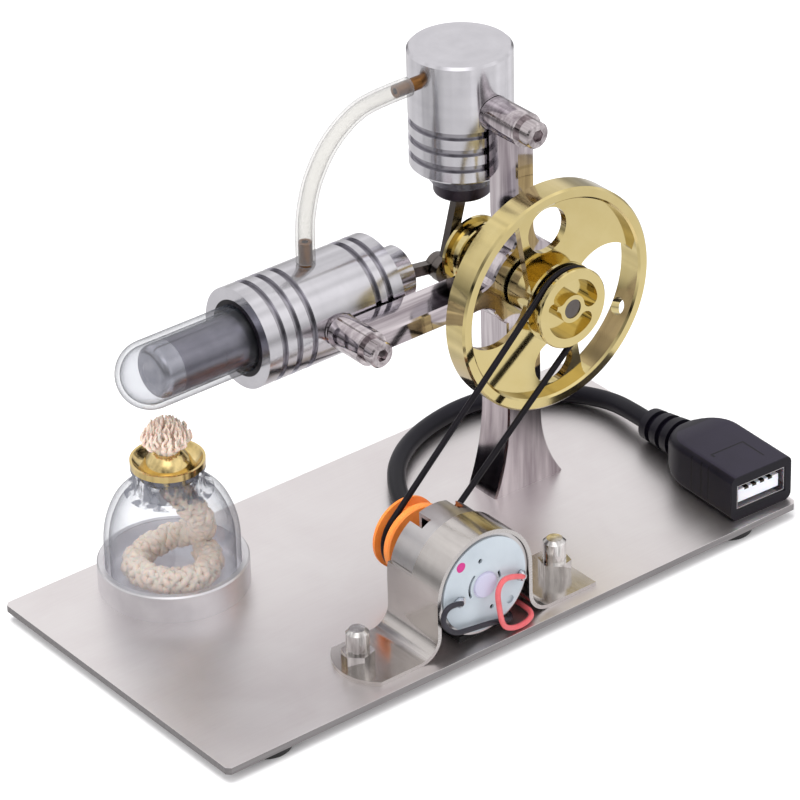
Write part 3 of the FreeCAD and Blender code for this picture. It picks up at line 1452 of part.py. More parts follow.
def main():
    os.makedirs("parts", exist_ok=True)
    make_base()
    make_frame()
    make_frame_fasteners()
    make_bearings()
    make_flywheel()
    make_drive_pulley()
    make_crank_disc()
    make_shaft()
    make_rods()
    make_displacer_cylinder()
    make_hot_cap()
    make_displacer()
    make_power_cylinder()
    make_piston()
    make_hose()
    make_motor()
    make_generator_pulley()
    make_strap()
    make_strap_fasteners()
    make_belt()
    make_usb()
    make_leads()
    make_lamp()
    make_wick()


main()
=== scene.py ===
# %% [markdown]
# # A hot-air engine with a belt-driven generator
# The engine's solids come from a CAD part, already in metres and already in place.
# We never move or reshape them. We give each a finish, and we build by hand what CAD
# describes poorly: soft lead, hose, wires and wick, and the small moulded details.

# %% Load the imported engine
import math
import random

import bmesh
import bpy
from mathutils import Matrix, Vector
from mathutils.geometry import interpolate_bezier


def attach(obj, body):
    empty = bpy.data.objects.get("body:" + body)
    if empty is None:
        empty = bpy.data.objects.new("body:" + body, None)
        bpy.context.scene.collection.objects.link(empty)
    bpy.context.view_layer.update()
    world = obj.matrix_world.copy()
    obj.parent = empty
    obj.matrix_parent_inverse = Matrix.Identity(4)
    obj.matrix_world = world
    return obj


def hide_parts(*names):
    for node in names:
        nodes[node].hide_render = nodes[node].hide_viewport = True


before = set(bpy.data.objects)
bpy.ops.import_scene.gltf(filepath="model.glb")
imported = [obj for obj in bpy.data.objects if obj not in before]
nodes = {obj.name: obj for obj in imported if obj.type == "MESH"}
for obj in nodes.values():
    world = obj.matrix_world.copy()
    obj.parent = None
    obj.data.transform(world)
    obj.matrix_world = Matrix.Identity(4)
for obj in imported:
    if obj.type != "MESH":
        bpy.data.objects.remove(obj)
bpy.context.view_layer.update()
MM = 0.001

# %% [markdown]
# ## The camera
# A long lens from a little under a metre away keeps the plate's edges nearly parallel,
# as in a catalogue picture. The camera looks down by 31 degrees and leans slightly.
# We build its three axes ourselves, so that the lean is easy to read.

# %% Camera
plate_depth, plate_top = 72.0, 3.5
turn, tilt, lean = (math.radians(degrees) for degrees in (-37.63, 30.84, -1.63))
camera_distance, camera_left, camera_up = 861.27, 23.58, 43.58
backward = Vector((math.sin(turn) * math.cos(tilt), -math.cos(turn) * math.cos(tilt),
                   math.sin(tilt)))
level = Vector((math.cos(turn), math.sin(turn), 0))
upward = backward.cross(level)
side = math.cos(lean) * level + math.sin(lean) * upward
rise = math.cos(lean) * upward - math.sin(lean) * level
plate_front = Vector((0, -plate_depth / 2, plate_top)) * MM
camera_data = bpy.data.cameras.new("camera")
camera_data.lens = 204.58
camera_data.sensor_width = 36.0
camera_data.clip_start = 0.05
camera = bpy.data.objects.new("camera", camera_data)
bpy.context.scene.collection.objects.link(camera)
camera.matrix_world = Matrix((side, rise, backward)).transposed().to_4x4()
camera.location = plate_front + (
    camera_distance * backward - camera_left * side + camera_up * rise) * MM
bpy.context.scene.camera = camera
print("camera stands at", [round(x, 3) for x in camera.location])

# %% [markdown]
# ## Cords
# A lead, a hose and two wires are soft, so each starts as one smooth curve. A NURBS
# spline of order 3 only leans towards its control points, which gives the lazy bends of
# real cable. The order and the end option are set after the points, or they have no
# effect. We then read the line back from the curve and sweep a round skin along it, as
# a mesh shows its true size, and the hose can have an inner wall.

# %% Centrelines
def centreline(name, places):
    """The points of a smooth line through the run of a cord, its places in millimetres."""
    curve = bpy.data.curves.new(name, "CURVE")
    curve.dimensions = "3D"
    spline = curve.splines.new("NURBS")
    spline.points.add(len(places) - 1)
    for point, place in zip(spline.points, places):
        point.co = (*(value * MM for value in place), 1)
    spline.order_u = 3
    spline.use_endpoint_u = True
    spline.resolution_u = 12
    line = bpy.data.objects.new(name, curve)
    mesh = bpy.data.meshes.new_from_object(line)
    points = [vertex.co.copy() for vertex in mesh.vertices]
    bpy.data.objects.remove(line)
    bpy.data.meshes.remove(mesh)
    return points


def run_length(points):
    return sum((b - a).length for a, b in zip(points, points[1:]))


# %% [markdown]
# To sweep a ring along a line we need two cross axes at each point. We carry the first
# pair along and only square it up at each step, so that the skin never twists.

# %% Sweep a profile along a line
def turning_frames(points):
    """A pair of cross axes at each point, carried along without twist."""
    ways = [(b - a).normalized() for a, b in zip(points, points[1:])]
    ways = [ways[0]] + [(a + b).normalized() for a, b in zip(ways, ways[1:])] + [ways[-1]]
    across = ways[0].orthogonal().normalized()
    frames = []
    for way in ways:
        across = (across - way * across.dot(way)).normalized()
        frames.append((across, way.cross(across)))
    return frames


def mesh_object(name, mesh, body):
    bmesh.ops.recalc_face_normals(mesh, faces=mesh.faces)
    data = bpy.data.meshes.new(name)
    mesh.to_mesh(data)
    mesh.free()
    data.shade_smooth()
    made = bpy.data.objects.new(name, data)
    bpy.context.scene.collection.objects.link(made)
    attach(made, body)
    return made


def ring_of(mesh, centre, frame_pair, radius, steps):
    across, over = frame_pair
    return [mesh.verts.new(centre + radius * (math.cos(angle) * across + math.sin(angle) * over))
            for angle in (2 * math.pi * step / steps for step in range(steps))]


def skin(mesh, rings, ends="filled"):
    """Quads between neighbouring rings, whose end rings are filled, left open or joined."""
    pairs = list(zip(rings, rings[1:]))
    if ends == "joined":
        pairs.append((rings[-1], rings[0]))
    for first, second in pairs:
        for step in range(len(first)):
            following = (step + 1) % len(first)
            mesh.faces.new((first[step], first[following], second[following], second[step]))
    if ends == "filled":
        mesh.faces.new(rings[0][::-1])
        mesh.faces.new(rings[-1])


def strand(mesh, points, radii, steps):
    """A solid strand with its own radius, in metres, at each point."""
    skin(mesh, [ring_of(mesh, point, pair, radius, steps)
                for point, pair, radius in zip(points, turning_frames(points), radii)])


def sheathed(name, solid, places, diameter, steps):
    """A round cord of plain section that stands for a CAD solid."""
    points = centreline(name, places)
    mesh = bmesh.new()
    strand(mesh, points, [diameter / 2 * MM] * len(points), steps)
    cord = mesh_object(name, mesh, "base")
    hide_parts(solid)
    print(f"{name} {run_length(points) * 1000:.1f} mm")
    return cord, points


# %% [markdown]
# The outlet lead leaves the generator, swings round behind it in one wide bow on the
# plate, and enters the socket's bend relief from the back, a little above the plate.

# %% The outlet lead
socket_x, socket_y, socket_yaw = 62.6, -33.65, math.radians(-2.5)
relief_reaches = (40.3, 34.3)


def by_socket(x, y, z):
    """A point beside the outlet socket, which stands at a slight angle on the plate."""
    return (socket_x + x * math.cos(socket_yaw) - y * math.sin(socket_yaw),
            socket_y + x * math.sin(socket_yaw) + y * math.cos(socket_yaw), plate_top + z)


lead_height, lead_diameter = 5.4, 3.8
lead_run = [(x, y, lead_height) for x, y in (
    (1.5, -15.0), (3.2, -8.5), (4.5, -1.5), (6.2, 5.5), (8.7, 12.2), (12.2, 18.4), (17.0, 24.3),
    (24.0, 29.2), (32.8, 32.2), (42.8, 33.2), (53.6, 30.4), (61.4, 23.0))]
lead_run += [(64.9, 14.6, 6.0)] + [by_socket(0, reach, 3.5) for reach in relief_reaches]
lead, lead_points = sheathed("outlet_lead", "usb_cable", lead_run, lead_diameter, 20)

# %% [markdown]
# The two generator wires are thinner and stiffer for their size. Each leaves a solder
# joint on the cap, bows in front of it, and follows the rim back under the can.

# %% Generator wires
motor_x, motor_z, motor_front = -7.0, 15.3, -33.0
wire_diameter = 1.1
wire_runs = {
    "coral_wire": ("red_wire", [
        (8.5, -1.1, -1.3), (4.3, -1.3, 0.9), (1.5, -1.7, -1.0), (1.7, -2.1, -5.4),
        (2.4, -2.3, -9.6), (5.4, -2.3, -11.0), (8.6, -2.2, -10.9), (10.6, -1.2, -10.3),
        (10.7, 2.6, -10.1), (10.2, 9.0, -10.1), (9.4, 17.4, -9.8)]),
    "dark_wire": ("black_wire", [
        (-6.4, -1.1, -1.0), (-9.8, -1.1, 0.2), (-11.5, -1.1, -3.2), (-8.6, -1.1, -7.0),
        (-4.2, -1.1, -7.6), (1.4, -1.1, -8.4), (6.2, -0.6, -10.2), (8.0, 4.4, -10.8),
        (7.8, 9.0, -10.8), (8.4, 13.6, -10.9), (8.7, 17.4, -10.7)]),
}
wires = {}
for name, (solid, run) in wire_runs.items():
    places = [(motor_x + x, motor_front + y, motor_z + z) for x, y, z in run]
    wires[name] = sheathed(name, solid, places, wire_diameter, 10)

# %% [markdown]
# The hose carries air between the two cylinders. Silicone tube is clear enough to show
# the nipples inside its ends, so it gets a real inner wall: the rings run out along the
# outside and back along the bore.

# %% The hose
cylinder_y = 22.75
hose_diameter, hose_bore, hose_sides = 3.9, 2.8, 32
hose_places = [(x, cylinder_y, z) for x, z in (
    (-4.7, 60.4), (-4.7, 67.3), (-4.0, 72.2), (-2.3, 77.6),
    (1.6, 83.6), (7.2, 87.7), (12.4, 89.2), (21.2, 89.2))]
hose_points = centreline("air_hose", hose_places)
hose_mesh = bmesh.new()
walls = []
for diameter, order in ((hose_diameter, 1), (hose_bore, -1)):
    rings = [ring_of(hose_mesh, point, pair, diameter / 2 * MM, hose_sides)
             for point, pair in zip(hose_points, turning_frames(hose_points))]
    walls += rings[::order]
skin(hose_mesh, walls, ends="joined")
hose = mesh_object("air_hose", hose_mesh, "base")
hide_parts("silicone_hose")
print(f"air hose {run_length(hose_points) * 1000:.1f} mm")

# %% [markdown]
# Each cord's run length is measured here. The lead carries the whole outlet socket, and
# the others end in the engine itself.

# %% Measure each cord
run_length(lead_points)
run_length(hose_points)
for wire, points in wires.values():
    run_length(points)
print(f"{2 + len(wires)} cords declared")

# %% [markdown]
# ## The wick
# The wick is a fat braided cotton rope. It lies in one loose turn on the bottle's floor,
# climbs to the neck, and its end bursts open above the brass holder like a flower. A
# braid is two families of yarns that wind opposite ways and dip under one another in
# turn, so each yarn is a helix round the rope's line whose distance swings in and out.

# %% The braided rope
lamp_x, lamp_y = -40.4, 21.1
yarn_dice = random.Random(5)
rope_radius, yarn_sides = 2.35, 6
turn_radius, turn_height = 7.45, 7.95


def wick_line():
    """The rope's line: down from the holder, over to the side, then once round the floor."""
    places = [(lamp_x, lamp_y, height) for height in (28.6, 25.4)]
    places += [(lamp_x + 2.6, lamp_y - 2.2, 21.2), (lamp_x + 6.6, lamp_y - 1.6, 15.0)]
    steps, steps_to_settle, start_angle, swept_angle = 14, 3, 12, 352
    landing, wobble_size, wave_size = 2.6, 0.28, 0.2
    for step in range(steps):
        angle = math.radians(start_angle + swept_angle * step / (steps - 1))
        reach = turn_radius + wobble_size * math.sin(3 * angle + 0.5)
        above = landing * max(0.0, 1 - step / steps_to_settle) + wave_size * math.sin(2 * angle)
        places.append((lamp_x + reach * math.cos(angle), lamp_y + reach * math.sin(angle),
                       turn_height + above))
    return centreline("wick_line", places)


def braid(mesh, points, families, yarns, radius, pitch, yarn_radius, weave):
    """Yarns that wind both ways round a line, all lengths in millimetres."""
    frames = turning_frames(points)
    reach = [0.0]
    for a, b in zip(points, points[1:]):
        reach.append(reach[-1] + (b - a).length / MM)
    for way in families:
        for yarn in range(yarns):
            start = 2 * math.pi * yarn / yarns
            run = []
            for point, (across, over), distance in zip(points, frames, reach):
                turned = 2 * math.pi * distance / pitch
                angle = start + way * turned
                swing = weave * way * math.sin(yarns * turned + yarns * start / 2)
                out = (radius + swing) * MM
                run.append(point + out * (math.cos(angle) * across + math.sin(angle) * over))
            radii = [yarn_radius * MM * yarn_dice.uniform(0.82, 1.15) for _ in run]
            strand(mesh, run, radii, yarn_sides)


def even_points(points, spacing):
    """The line again, with a point every so many millimetres."""
    wanted, walked, places = 0.0, 0.0, []
    for a, b in zip(points, points[1:]):
        length = (b - a).length
        while wanted <= walked + length:
            places.append(a.lerp(b, (wanted - walked) / length))
            wanted += spacing * MM
        walked += length
    return places


rope_points = even_points(wick_line(), spacing=0.42)
rope_mesh = bmesh.new()
core_radius = rope_radius * 0.82
strand(rope_mesh, rope_points, [core_radius * MM] * len(rope_points), steps=16)
braid(rope_mesh, rope_points, families=(1, -1), yarns=5, radius=rope_radius - 0.45, pitch=9.0,
      yarn_radius=0.78, weave=0.26)
print(f"{len(rope_points)} rings along the rope")

# %% [markdown]
# Loose fibres make cotton look like cotton. Each is a thread-thin strand that leaves the
# yarn sideways, bends, and thins towards its tip.

# %% Loose fibres
taper = (1.0, 0.95, 0.8, 0.6, 0.3)


def fibre(mesh, root, way, length, thickness):
    """A bent hair, its length and thickness in millimetres."""
    side_way = way.orthogonal().normalized() * yarn_dice.uniform(-0.7, 0.7)
    bend = way.cross(side_way) * yarn_dice.uniform(-0.8, 0.8)
    tip = root + (way + side_way + bend).normalized() * length * MM
    middle = root + way * length * 0.55 * MM
    run = interpolate_bezier(root, root.lerp(middle, 0.7), middle, tip, len(taper))
    strand(mesh, run, [thickness / 2 * MM * share for share in taper], steps=3)


for point, (across, over) in zip(rope_points, turning_frames(rope_points)):
    for _ in range(6):
        angle = yarn_dice.uniform(0, 2 * math.pi)
        way = math.cos(angle) * across + math.sin(angle) * over
        root = point + way * (rope_radius - 0.1) * MM
        fibre(rope_mesh, root, way, length=yarn_dice.uniform(0.3, 1.0), thickness=0.08)
wick_rope = mesh_object("wick_rope", rope_mesh, "wick")
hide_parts("wick_coil")
print(f"wick rope with {len(wick_rope.data.polygons)} faces")

# %% [markdown]
# The flower is a hundred yarn ends in a sunflower's order. Those in the middle stand up,
# and those outside lean out and curl back over, like petals. Each is two Bezier bends in
# a row, and wavers a little on its way, as unspun cotton does. A table gives five stops
# of a yarn end: its height as a share of the flower's, the share that it sags by, and its
# way outwards for its place in the bunch, for the spread and for its own drift.

# %% The open end
petal = ((0.0, 0.0, 1.3, 0.0, 0.0), (0.3, 0.0, 1.7, 0.0, 0.0), (0.62, 0.16, 0.9, 0.3, 0.0),
         (0.84, 0.36, 0.3, 1.0, 0.5), (1.0, 0.32, -0.8, 1.0, 1.0))
stem_points, curl_points, first_hairy = 7, 11, 8


def open_end(mesh, count, bottom, height, spread):
    """Yarn ends that open like a flower, from a bottom up to a height, in millimetres."""
    golden = math.pi * (3 - math.sqrt(5))
    up = Vector((0, 0, 1))
    base = Vector((lamp_x, lamp_y, bottom))
    rise = height - bottom
    for index in range(count):
        share = math.sqrt((index + 0.5) / count)
        angle = index * golden + yarn_dice.uniform(-0.2, 0.2)
        out = Vector((math.cos(angle), math.sin(angle), 0))
        side_way = Vector((-out.y, out.x, 0))
        reach = spread * share * yarn_dice.uniform(0.84, 1.0)
        sag = share ** 2 * yarn_dice.uniform(0.8, 1.1)
        drift = side_way * yarn_dice.uniform(-1.0, 1.0)
        root, stem, bend, curl, tip = (
            (base + up * rise * (high - low * sag) + out * (bunch * share + wide * reach)
             + drift * loose) * MM for high, low, bunch, wide, loose in petal)
        run = interpolate_bezier(root, stem, stem, bend, stem_points)
        run += interpolate_bezier(run[-1], bend.lerp(curl, 0.5), curl, tip, curl_points)[1:]
        phase = yarn_dice.uniform(0, 2 * math.pi)
        for step, place in enumerate(run):
            place += side_way * 0.2 * MM * math.sin(phase + 1.2 * step)
        thick = yarn_dice.uniform(0.38, 0.56)
        last = len(run) - 1
        radii = [thick * MM * (1 - 0.7 * (step / last) ** 5) for step in range(last + 1)]
        strand(mesh, run, radii, steps=7)
        for _ in range(7):
            place = run[yarn_dice.randrange(first_hairy, last + 1)]
            way = (out * yarn_dice.uniform(0, 1) + side_way * yarn_dice.uniform(-1, 1)
                   + up * yarn_dice.uniform(-0.2, 1)).normalized()
            fibre(mesh, place, way, length=yarn_dice.uniform(0.5, 1.1), thickness=0.06)


flower_mesh = bmesh.new()
open_end(flower_mesh, count=100, bottom=29.2, height=40.4, spread=5.5)
wick_flower = mesh_object("wick_flower", flower_mesh, "wick")
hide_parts("wick_tuft")
print(f"wick flower with {len(wick_flower.data.polygons)} faces")

# %% [markdown]
# The wick comes up through a little pressed brass dome in the holder's dish. It is thin
# sheet, drawn to a hole in the middle, so here it is a profile turned about the wick.

# %% Pressed dome round the wick
def turned_sheet(name, profile, x, y, sides, body):
    """Turn radius and height pairs, in millimetres, about an upright line."""
    mesh = bmesh.new()
    level_axes = Vector((1, 0, 0)), Vector((0, 1, 0))
    rings = [ring_of(mesh, Vector((x, y, height)) * MM, level_axes, radius * MM, sides)
             for radius, height in profile]
    skin(mesh, rings, ends="open")
    return mesh_object(name, mesh, body)


dome_profile = ((5.1, 29.4), (4.9, 30.3), (4.5, 31.2), (3.9, 32.0), (3.2, 32.7), (2.7, 33.1),
                (2.4, 33.2), (2.15, 33.0), (2.15, 32.0))
wick_dome = turned_sheet("wick_dome", dome_profile, lamp_x, lamp_y, sides=72, body="wick")
print("wick dome", len(wick_dome.data.polygons), "faces")

# %% [markdown]
# ## Small marks on the generator
# A dab of paint shows which pole is which, and each wire ends in a dome of solder that
# has run over its terminal. Both are a stack of rings that narrow as they rise.

# %% Dab and solder
def drop(name, x, z, radius, height, lean_x, lumps):
    """A drop that stands out from the cap by a height in millimetres."""
    rows, sides, steepest = 7, 24, 0.97
    mesh = bmesh.new()
    rings = []
    for row in range(rows):
        share = row / (rows - 1)
        width = radius * math.cos(share * math.pi / 2 * steepest)
        lift = height * math.sin(share * math.pi / 2)
        ring = []
        for side in range(sides):
            angle = 2 * math.pi * side / sides
            uneven = 1 + lumps * math.sin(3 * angle + x) + lumps * 0.6 * math.sin(5 * angle)
            ring.append(mesh.verts.new(Vector((
                motor_x + x + lean_x * share + width * uneven * math.cos(angle),
                motor_front - lift, motor_z + z + width * uneven * math.sin(angle))) * MM))
        rings.append(ring)
    skin(mesh, rings)
    return mesh_object(name, mesh, "base")


pole_mark = drop("pole_mark", -5.66, 6.13, radius=1.05, height=0.09, lean_x=0.0, lumps=0.02)
solder = [drop("solder_left", -6.4, -1.1, radius=1.0, height=1.5, lean_x=-0.5, lumps=0.1),
          drop("solder_right", 8.7, -1.4, radius=1.0, height=1.6, lean_x=-0.3, lumps=0.12)]
print("solder domes and the pole mark made")

# %% [markdown]
# ## Shader sums
# Node trees are easier to read as sums. `Term` wraps one socket, so that `1 - mask` or
# `grain * 0.2 + 0.3` adds its own Math nodes. `Finish` is one material in the making:
# its `node` method adds any other node, settings first and sockets after. A Mix node has
# a set of sockets for each kind of data, so those for colours are called by number.

# %% Terms and finishes
def feed(tree, term, slot):
    if isinstance(term, Term):
        tree.links.new(term.socket, slot)
    else:
        slot.default_value = term


class Term:
    """A shader socket that takes part in Python sums."""

    def __init__(self, tree, socket):
        self.tree, self.socket = tree, socket

    def work(self, operation, *terms):
        """A Math node that does that to the terms."""
        node = self.tree.nodes.new("ShaderNodeMath")
        node.operation = operation
        for term, slot in zip(terms, node.inputs):
            feed(self.tree, term, slot)
        return Term(self.tree, node.outputs[0])

    def __add__(self, other):
        return self.work("ADD", self, other)

    def __sub__(self, other):
        return self.work("SUBTRACT", self, other)

    def __rsub__(self, other):
        return self.work("SUBTRACT", other, self)

    def __mul__(self, other):
        return self.work("MULTIPLY", self, other)

    def __truediv__(self, other):
        return self.work("DIVIDE", self, other)

    def __rtruediv__(self, other):
        return self.work("DIVIDE", other, self)

    def __pow__(self, other):
        return self.work("POWER", self, other)

    def __rpow__(self, other):
        return self.work("POWER", other, self)

    def __abs__(self):
        return self.work("ABSOLUTE", self)

    def __lt__(self, other):
        return self.work("LESS_THAN", self, other)

    def __gt__(self, other):
        return self.work("GREATER_THAN", self, other)

    def smooth_max(self, other, width):
        return self.work("SMOOTH_MAX", self, other, width)

    def smooth_min(self, other, width):
        return self.work("SMOOTH_MIN", self, other, width)

    __radd__, __rmul__ = __add__, __mul__


class Finish:
    """One material in the making."""

    def __init__(self, name):
        self.material = bpy.data.materials.new(name)
        self.material.use_nodes = True
        self.tree = self.material.node_tree
        self.tree.nodes.clear()

    def node(self, kind, sockets=(), out=0, **settings):
        made = self.tree.nodes.new("ShaderNode" + kind)
        for name, value in settings.items():
            setattr(made, name, value)
        for name, term in dict(sockets).items():
            feed(self.tree, term, made.inputs[name])
        return Term(self.tree, made.outputs[out]) if made.outputs else None

    def place(self):
        return self.node("TexCoord", out="Object")

    def axes(self):
        """The object's own x, y and z, in metres."""
        first = self.node("SeparateXYZ", {"Vector": self.place()})
        return [Term(self.tree, output) for output in first.socket.node.outputs]

    def noise(self, size, detail=3.0, stretch=(1, 1, 1), roughness=0.5, distortion=0.0):
        """Noise with spots of about that size, in millimetres, drawn out where `stretch` is low."""
        spread = self.node("Mapping", {"Vector": self.place(), "Scale": stretch})
        return self.node("TexNoise", {"Vector": spread, "Scale": 1 / (size * MM), "Detail": detail,
                                      "Roughness": roughness, "Distortion": distortion})

    def lines(self, along, size, detail=2.0):
        """Noise in one dimension: bands of about that size, in millimetres, along a distance."""
        return self.node("TexNoise", {"W": along, "Scale": 1 / (size * MM), "Detail": detail},
                         noise_dimensions="1D")

    def blend(self, factor, first, second):
        return self.node("Mix", {0: factor, 6: first, 7: second}, out=2, data_type="RGBA")

    def bump(self, height, depth, strength=1.0):
        """A bump whose depth is in millimetres."""
        return self.node("Bump", {"Height": height, "Distance": depth * MM, "Strength": strength})

    def surface(self, sockets):
        return self.show(self.node("BsdfPrincipled", sockets))

    def show(self, shader):
        self.node("OutputMaterial", {"Surface": shader})
        return self.material

    def layer(self, factor, under, over):
        """One shader over another, by a factor from 0 to 1."""
        return self.node("MixShader", {0: factor, 1: under, 2: over})

    def edge_on(self, power):
        """0 where a surface faces the eye, 1 where it is seen along its face."""
        return self.node("LayerWeight", {"Blend": 0.5}, out=1) ** power

    def from_axis(self, axis, centre):
        """Distances along an axis and outwards from it, through a centre in millimetres."""
        across = [place - value * MM for place, value in zip(self.axes(), centre)]
        along = across.pop(axis)
        return along, (across[0] ** 2 + across[1] ** 2) ** 0.5


def tone(red, green, blue):
    """A colour as seen on a screen, 0 to 255, for a shader's linear socket."""
    return (*(((value / 255 + 0.055) / 1.055) ** 2.4 if value > 10 else value / 255 / 12.92
              for value in (red, green, blue)), 1.0)


# %% [markdown]
# ## Metals
# Each metal differs in how it was made. Rolled plate has fine lines one way and faint
# stains, so its noise is stretched along the rolling. The sheared edges of a sheet are
# rougher, and a flat tone is painted on them as shade, much darker on the plate's sides.

# %% Rolled steel plate
def rolled_steel(name, dark, light, grain_run, roughness, stain_size, sheared, edge_shade_tone):
    """`sheared` gives, from x, y and z, a mask of the cut edges, painted in the edge tone as shade.
    """
    finish = Finish(name)
    grain = finish.noise(0.5, detail=4.0, stretch=grain_run)
    fine = finish.noise(0.16, detail=2.0, stretch=grain_run)
    stain = finish.noise(stain_size, detail=4.0, roughness=0.55, distortion=0.6)
    face = finish.blend(stain * 0.75 + grain * 0.25, dark, light)
    cut = sheared(*finish.axes())
    # Painted shade: the cut edges take the flat edge tone over the face.
    return finish.surface({
        "Base Color": finish.blend(cut * (0.75 + grain * 0.4), face, edge_shade_tone),
        "Metallic": 1.0,
        "Roughness": roughness + grain * 0.08 + stain * 0.06 + cut * 0.1,
        "Normal": finish.bump(grain * 0.6 + fine * 0.4, 0.006, 0.3)})


# The plate's sides are painted dark grey as shade.
plate_steel = rolled_steel(
    "brushed_plate", tone(226, 218, 219), tone(250, 248, 247), grain_run=(0.035, 1, 1),
    roughness=0.3, stain_size=18.0, sheared=lambda x, y, z: z < (plate_top - 0.08) * MM,
    edge_shade_tone=tone(150, 147, 148))
strap_steel = rolled_steel(
    "strap_steel", tone(186, 180, 177), tone(228, 224, 220), grain_run=(1, 0.06, 1),
    roughness=0.1, stain_size=9.0, sheared=lambda x, y, z: y < (motor_front - 0.04) * MM,
    edge_shade_tone=tone(206, 202, 200))
print("sheet metals:", plate_steel.name, strap_steel.name)

# %% [markdown]
# The engine's frame, its bolts and the cap nuts are plated and polished by hand. In such
# a mirror the reflected streaks show more than the colour does, so painted reflections,
# light and dark, follow one stretched noise, which also roughens and bumps the surface.
# On the frame they run up the column and turn along its level arm.

# %% Streaky plating
arm_reach, arm_underside = 26.0, 36.0


def streaked(name, dark, light, stretch, roughness, crosswise=None):
    """A mirror finish with painted reflection streaks, light and dark, that run along the piece,
    over fine polishing lines in its bump.

    `crosswise` gives, from x, y and z, where they run along X instead.
    """
    finish = Finish(name)

    def marks(size):
        along = finish.noise(size, detail=2.0, stretch=stretch)
        if not crosswise:
            return along
        level = finish.noise(size, detail=2.0, stretch=(0.07, 1, 1))
        return along + crosswise(*finish.axes()) * (level - along)

    broad, narrow = marks(2.2), marks(0.6)
    # Painted reflections: the base colour swings from dark to light along the streaks.
    shade = (broad - 0.5) * 2.2 + (narrow - 0.5) * 0.7 + 0.55
    return finish.surface({
        "Base Color": finish.blend(shade, dark, light), "Metallic": 1.0,
        "Roughness": roughness + narrow * 0.06,
        "Normal": finish.bump(narrow, 0.003, 0.4)})


upright_plating = streaked(
    "bright_plating_frame", tone(146, 135, 141), tone(220, 212, 215), stretch=(1, 1, 0.07),
    roughness=0.05,
    crosswise=lambda x, y, z: (x < arm_reach * MM) * (z > arm_underside * MM))
bolt_plating = streaked("bright_plating_bolts", tone(124, 114, 118), tone(228, 220, 222),
                        stretch=(1, 0.08, 1), roughness=0.04)
nut_plating = streaked("bright_plating_nuts", tone(140, 134, 132), tone(252, 250, 248),
                       stretch=(1, 1, 0.2), roughness=0.07)
print("platings:", upright_plating.name, bolt_plating.name, nut_plating.name)

# %% [markdown]
# A lathe leaves fine rings round the axis of each turned part. So the noise here runs in
# one dimension only, fed by the distance along the axis plus the distance outwards. The
# rings of one part then line up round it, on its faces as well as on its side.

# %% Turned metal
X, Y, Z = range(3)
shaft_x, shaft_z = 34.0, 49.8
power_axis = Z, (shaft_x, cylinder_y, 0)
displacer_axis = X, (0, cylinder_y, shaft_z)
shaft_axis = Y, (shaft_x, 0, shaft_z)
motor_axis = Y, (motor_x, 0, motor_z)
lamp_axis = Z, (lamp_x, lamp_y, 0)
nipple_x = hose_places[0][0]
nipple_axis = Z, (nipple_x, cylinder_y, 0)


def turned_metal(name, dark, light, axis, centre, roughness=0.12, pitch=0.16, depth=0.0012,
                 floors=None):
    """Rings round an axis through a centre in millimetres.

    `floors` is a radius and a span along the axis: the floors of grooves cut deeper than
    that radius get less light, so they are darker.
    """
    finish = Finish(name)
    along, outward = finish.from_axis(axis, centre)
    rings = finish.lines(along + outward, pitch, detail=3.0)
    bands = finish.lines(along + outward, 2.6, detail=1.0)
    haze = finish.noise(5.0, detail=3.0)
    face = finish.blend(bands * 0.25 + haze * 0.75, dark, light)
    # Painted shade: the tone darkens towards the edges that turn away from the eye.
    face = finish.blend(finish.edge_on(2.5) * 0.55, face, tone(120, 118, 126))
    if floors:
        radius, low, high = (value * MM for value in floors)
        cut = (outward < radius) * (along > low) * (along < high)
        face = finish.blend(cut * (0.3 + haze * 0.5), face, tone(96, 92, 102))
    return finish.surface({
        "Base Color": face, "Metallic": 1.0,
        "Roughness": roughness + rings * 0.06 + haze * 0.05,
        "Normal": finish.bump(rings, depth, 0.5)})


aluminium = tone(200, 199, 204), tone(234, 233, 238)
power_metal = turned_metal("turned_aluminium_upright", *aluminium, *power_axis,
                           floors=(9.95, 70.5, 81.0))
displacer_metal = turned_metal("turned_aluminium_level", *aluminium, *displacer_axis,
                               floors=(9.8, -19.5, 10.0))
plunger_metal = turned_metal("turned_aluminium_plunger", tone(128, 126, 136), tone(176, 174, 186),
                             *displacer_axis, roughness=0.24, pitch=0.5, depth=0.008)
plunger_tip = turned_metal("turned_aluminium_tip", tone(186, 186, 194), tone(222, 222, 230),
                           *displacer_axis, roughness=0.2)
wheel_brass = turned_metal("yellow_brass", tone(212, 192, 128), tone(230, 214, 158), *shaft_axis,
                           roughness=0.05, depth=0.0004)
holder_brass = turned_metal("yellow_brass_holder", tone(216, 184, 112), tone(246, 226, 168),
                            *lamp_axis, roughness=0.08, depth=0.0008)
can_steel = turned_metal("drawn_steel", tone(196, 192, 192), tone(230, 228, 228), *motor_axis,
                         roughness=0.24)
bronze = turned_metal("bronze", tone(130, 88, 46), tone(172, 124, 72), *nipple_axis,
                      roughness=0.25)
graphite = turned_metal("graphite", tone(58, 52, 58), tone(86, 80, 88), *power_axis,
                        roughness=0.34)
print("nine turned finishes, from", power_metal.name, "to", graphite.name)

# %% [markdown]
# The lamp's seat is a shallow tray, and the bottle stands in it. Light that reaches its
# inner wall has crossed the glass many times, more often than a renderer follows. So
# inside the wall the metal turns partly into pale paint, with a faint glow of its own.

# %% Lamp seat
seat_wall, seat_rim = 13.7, 9.1


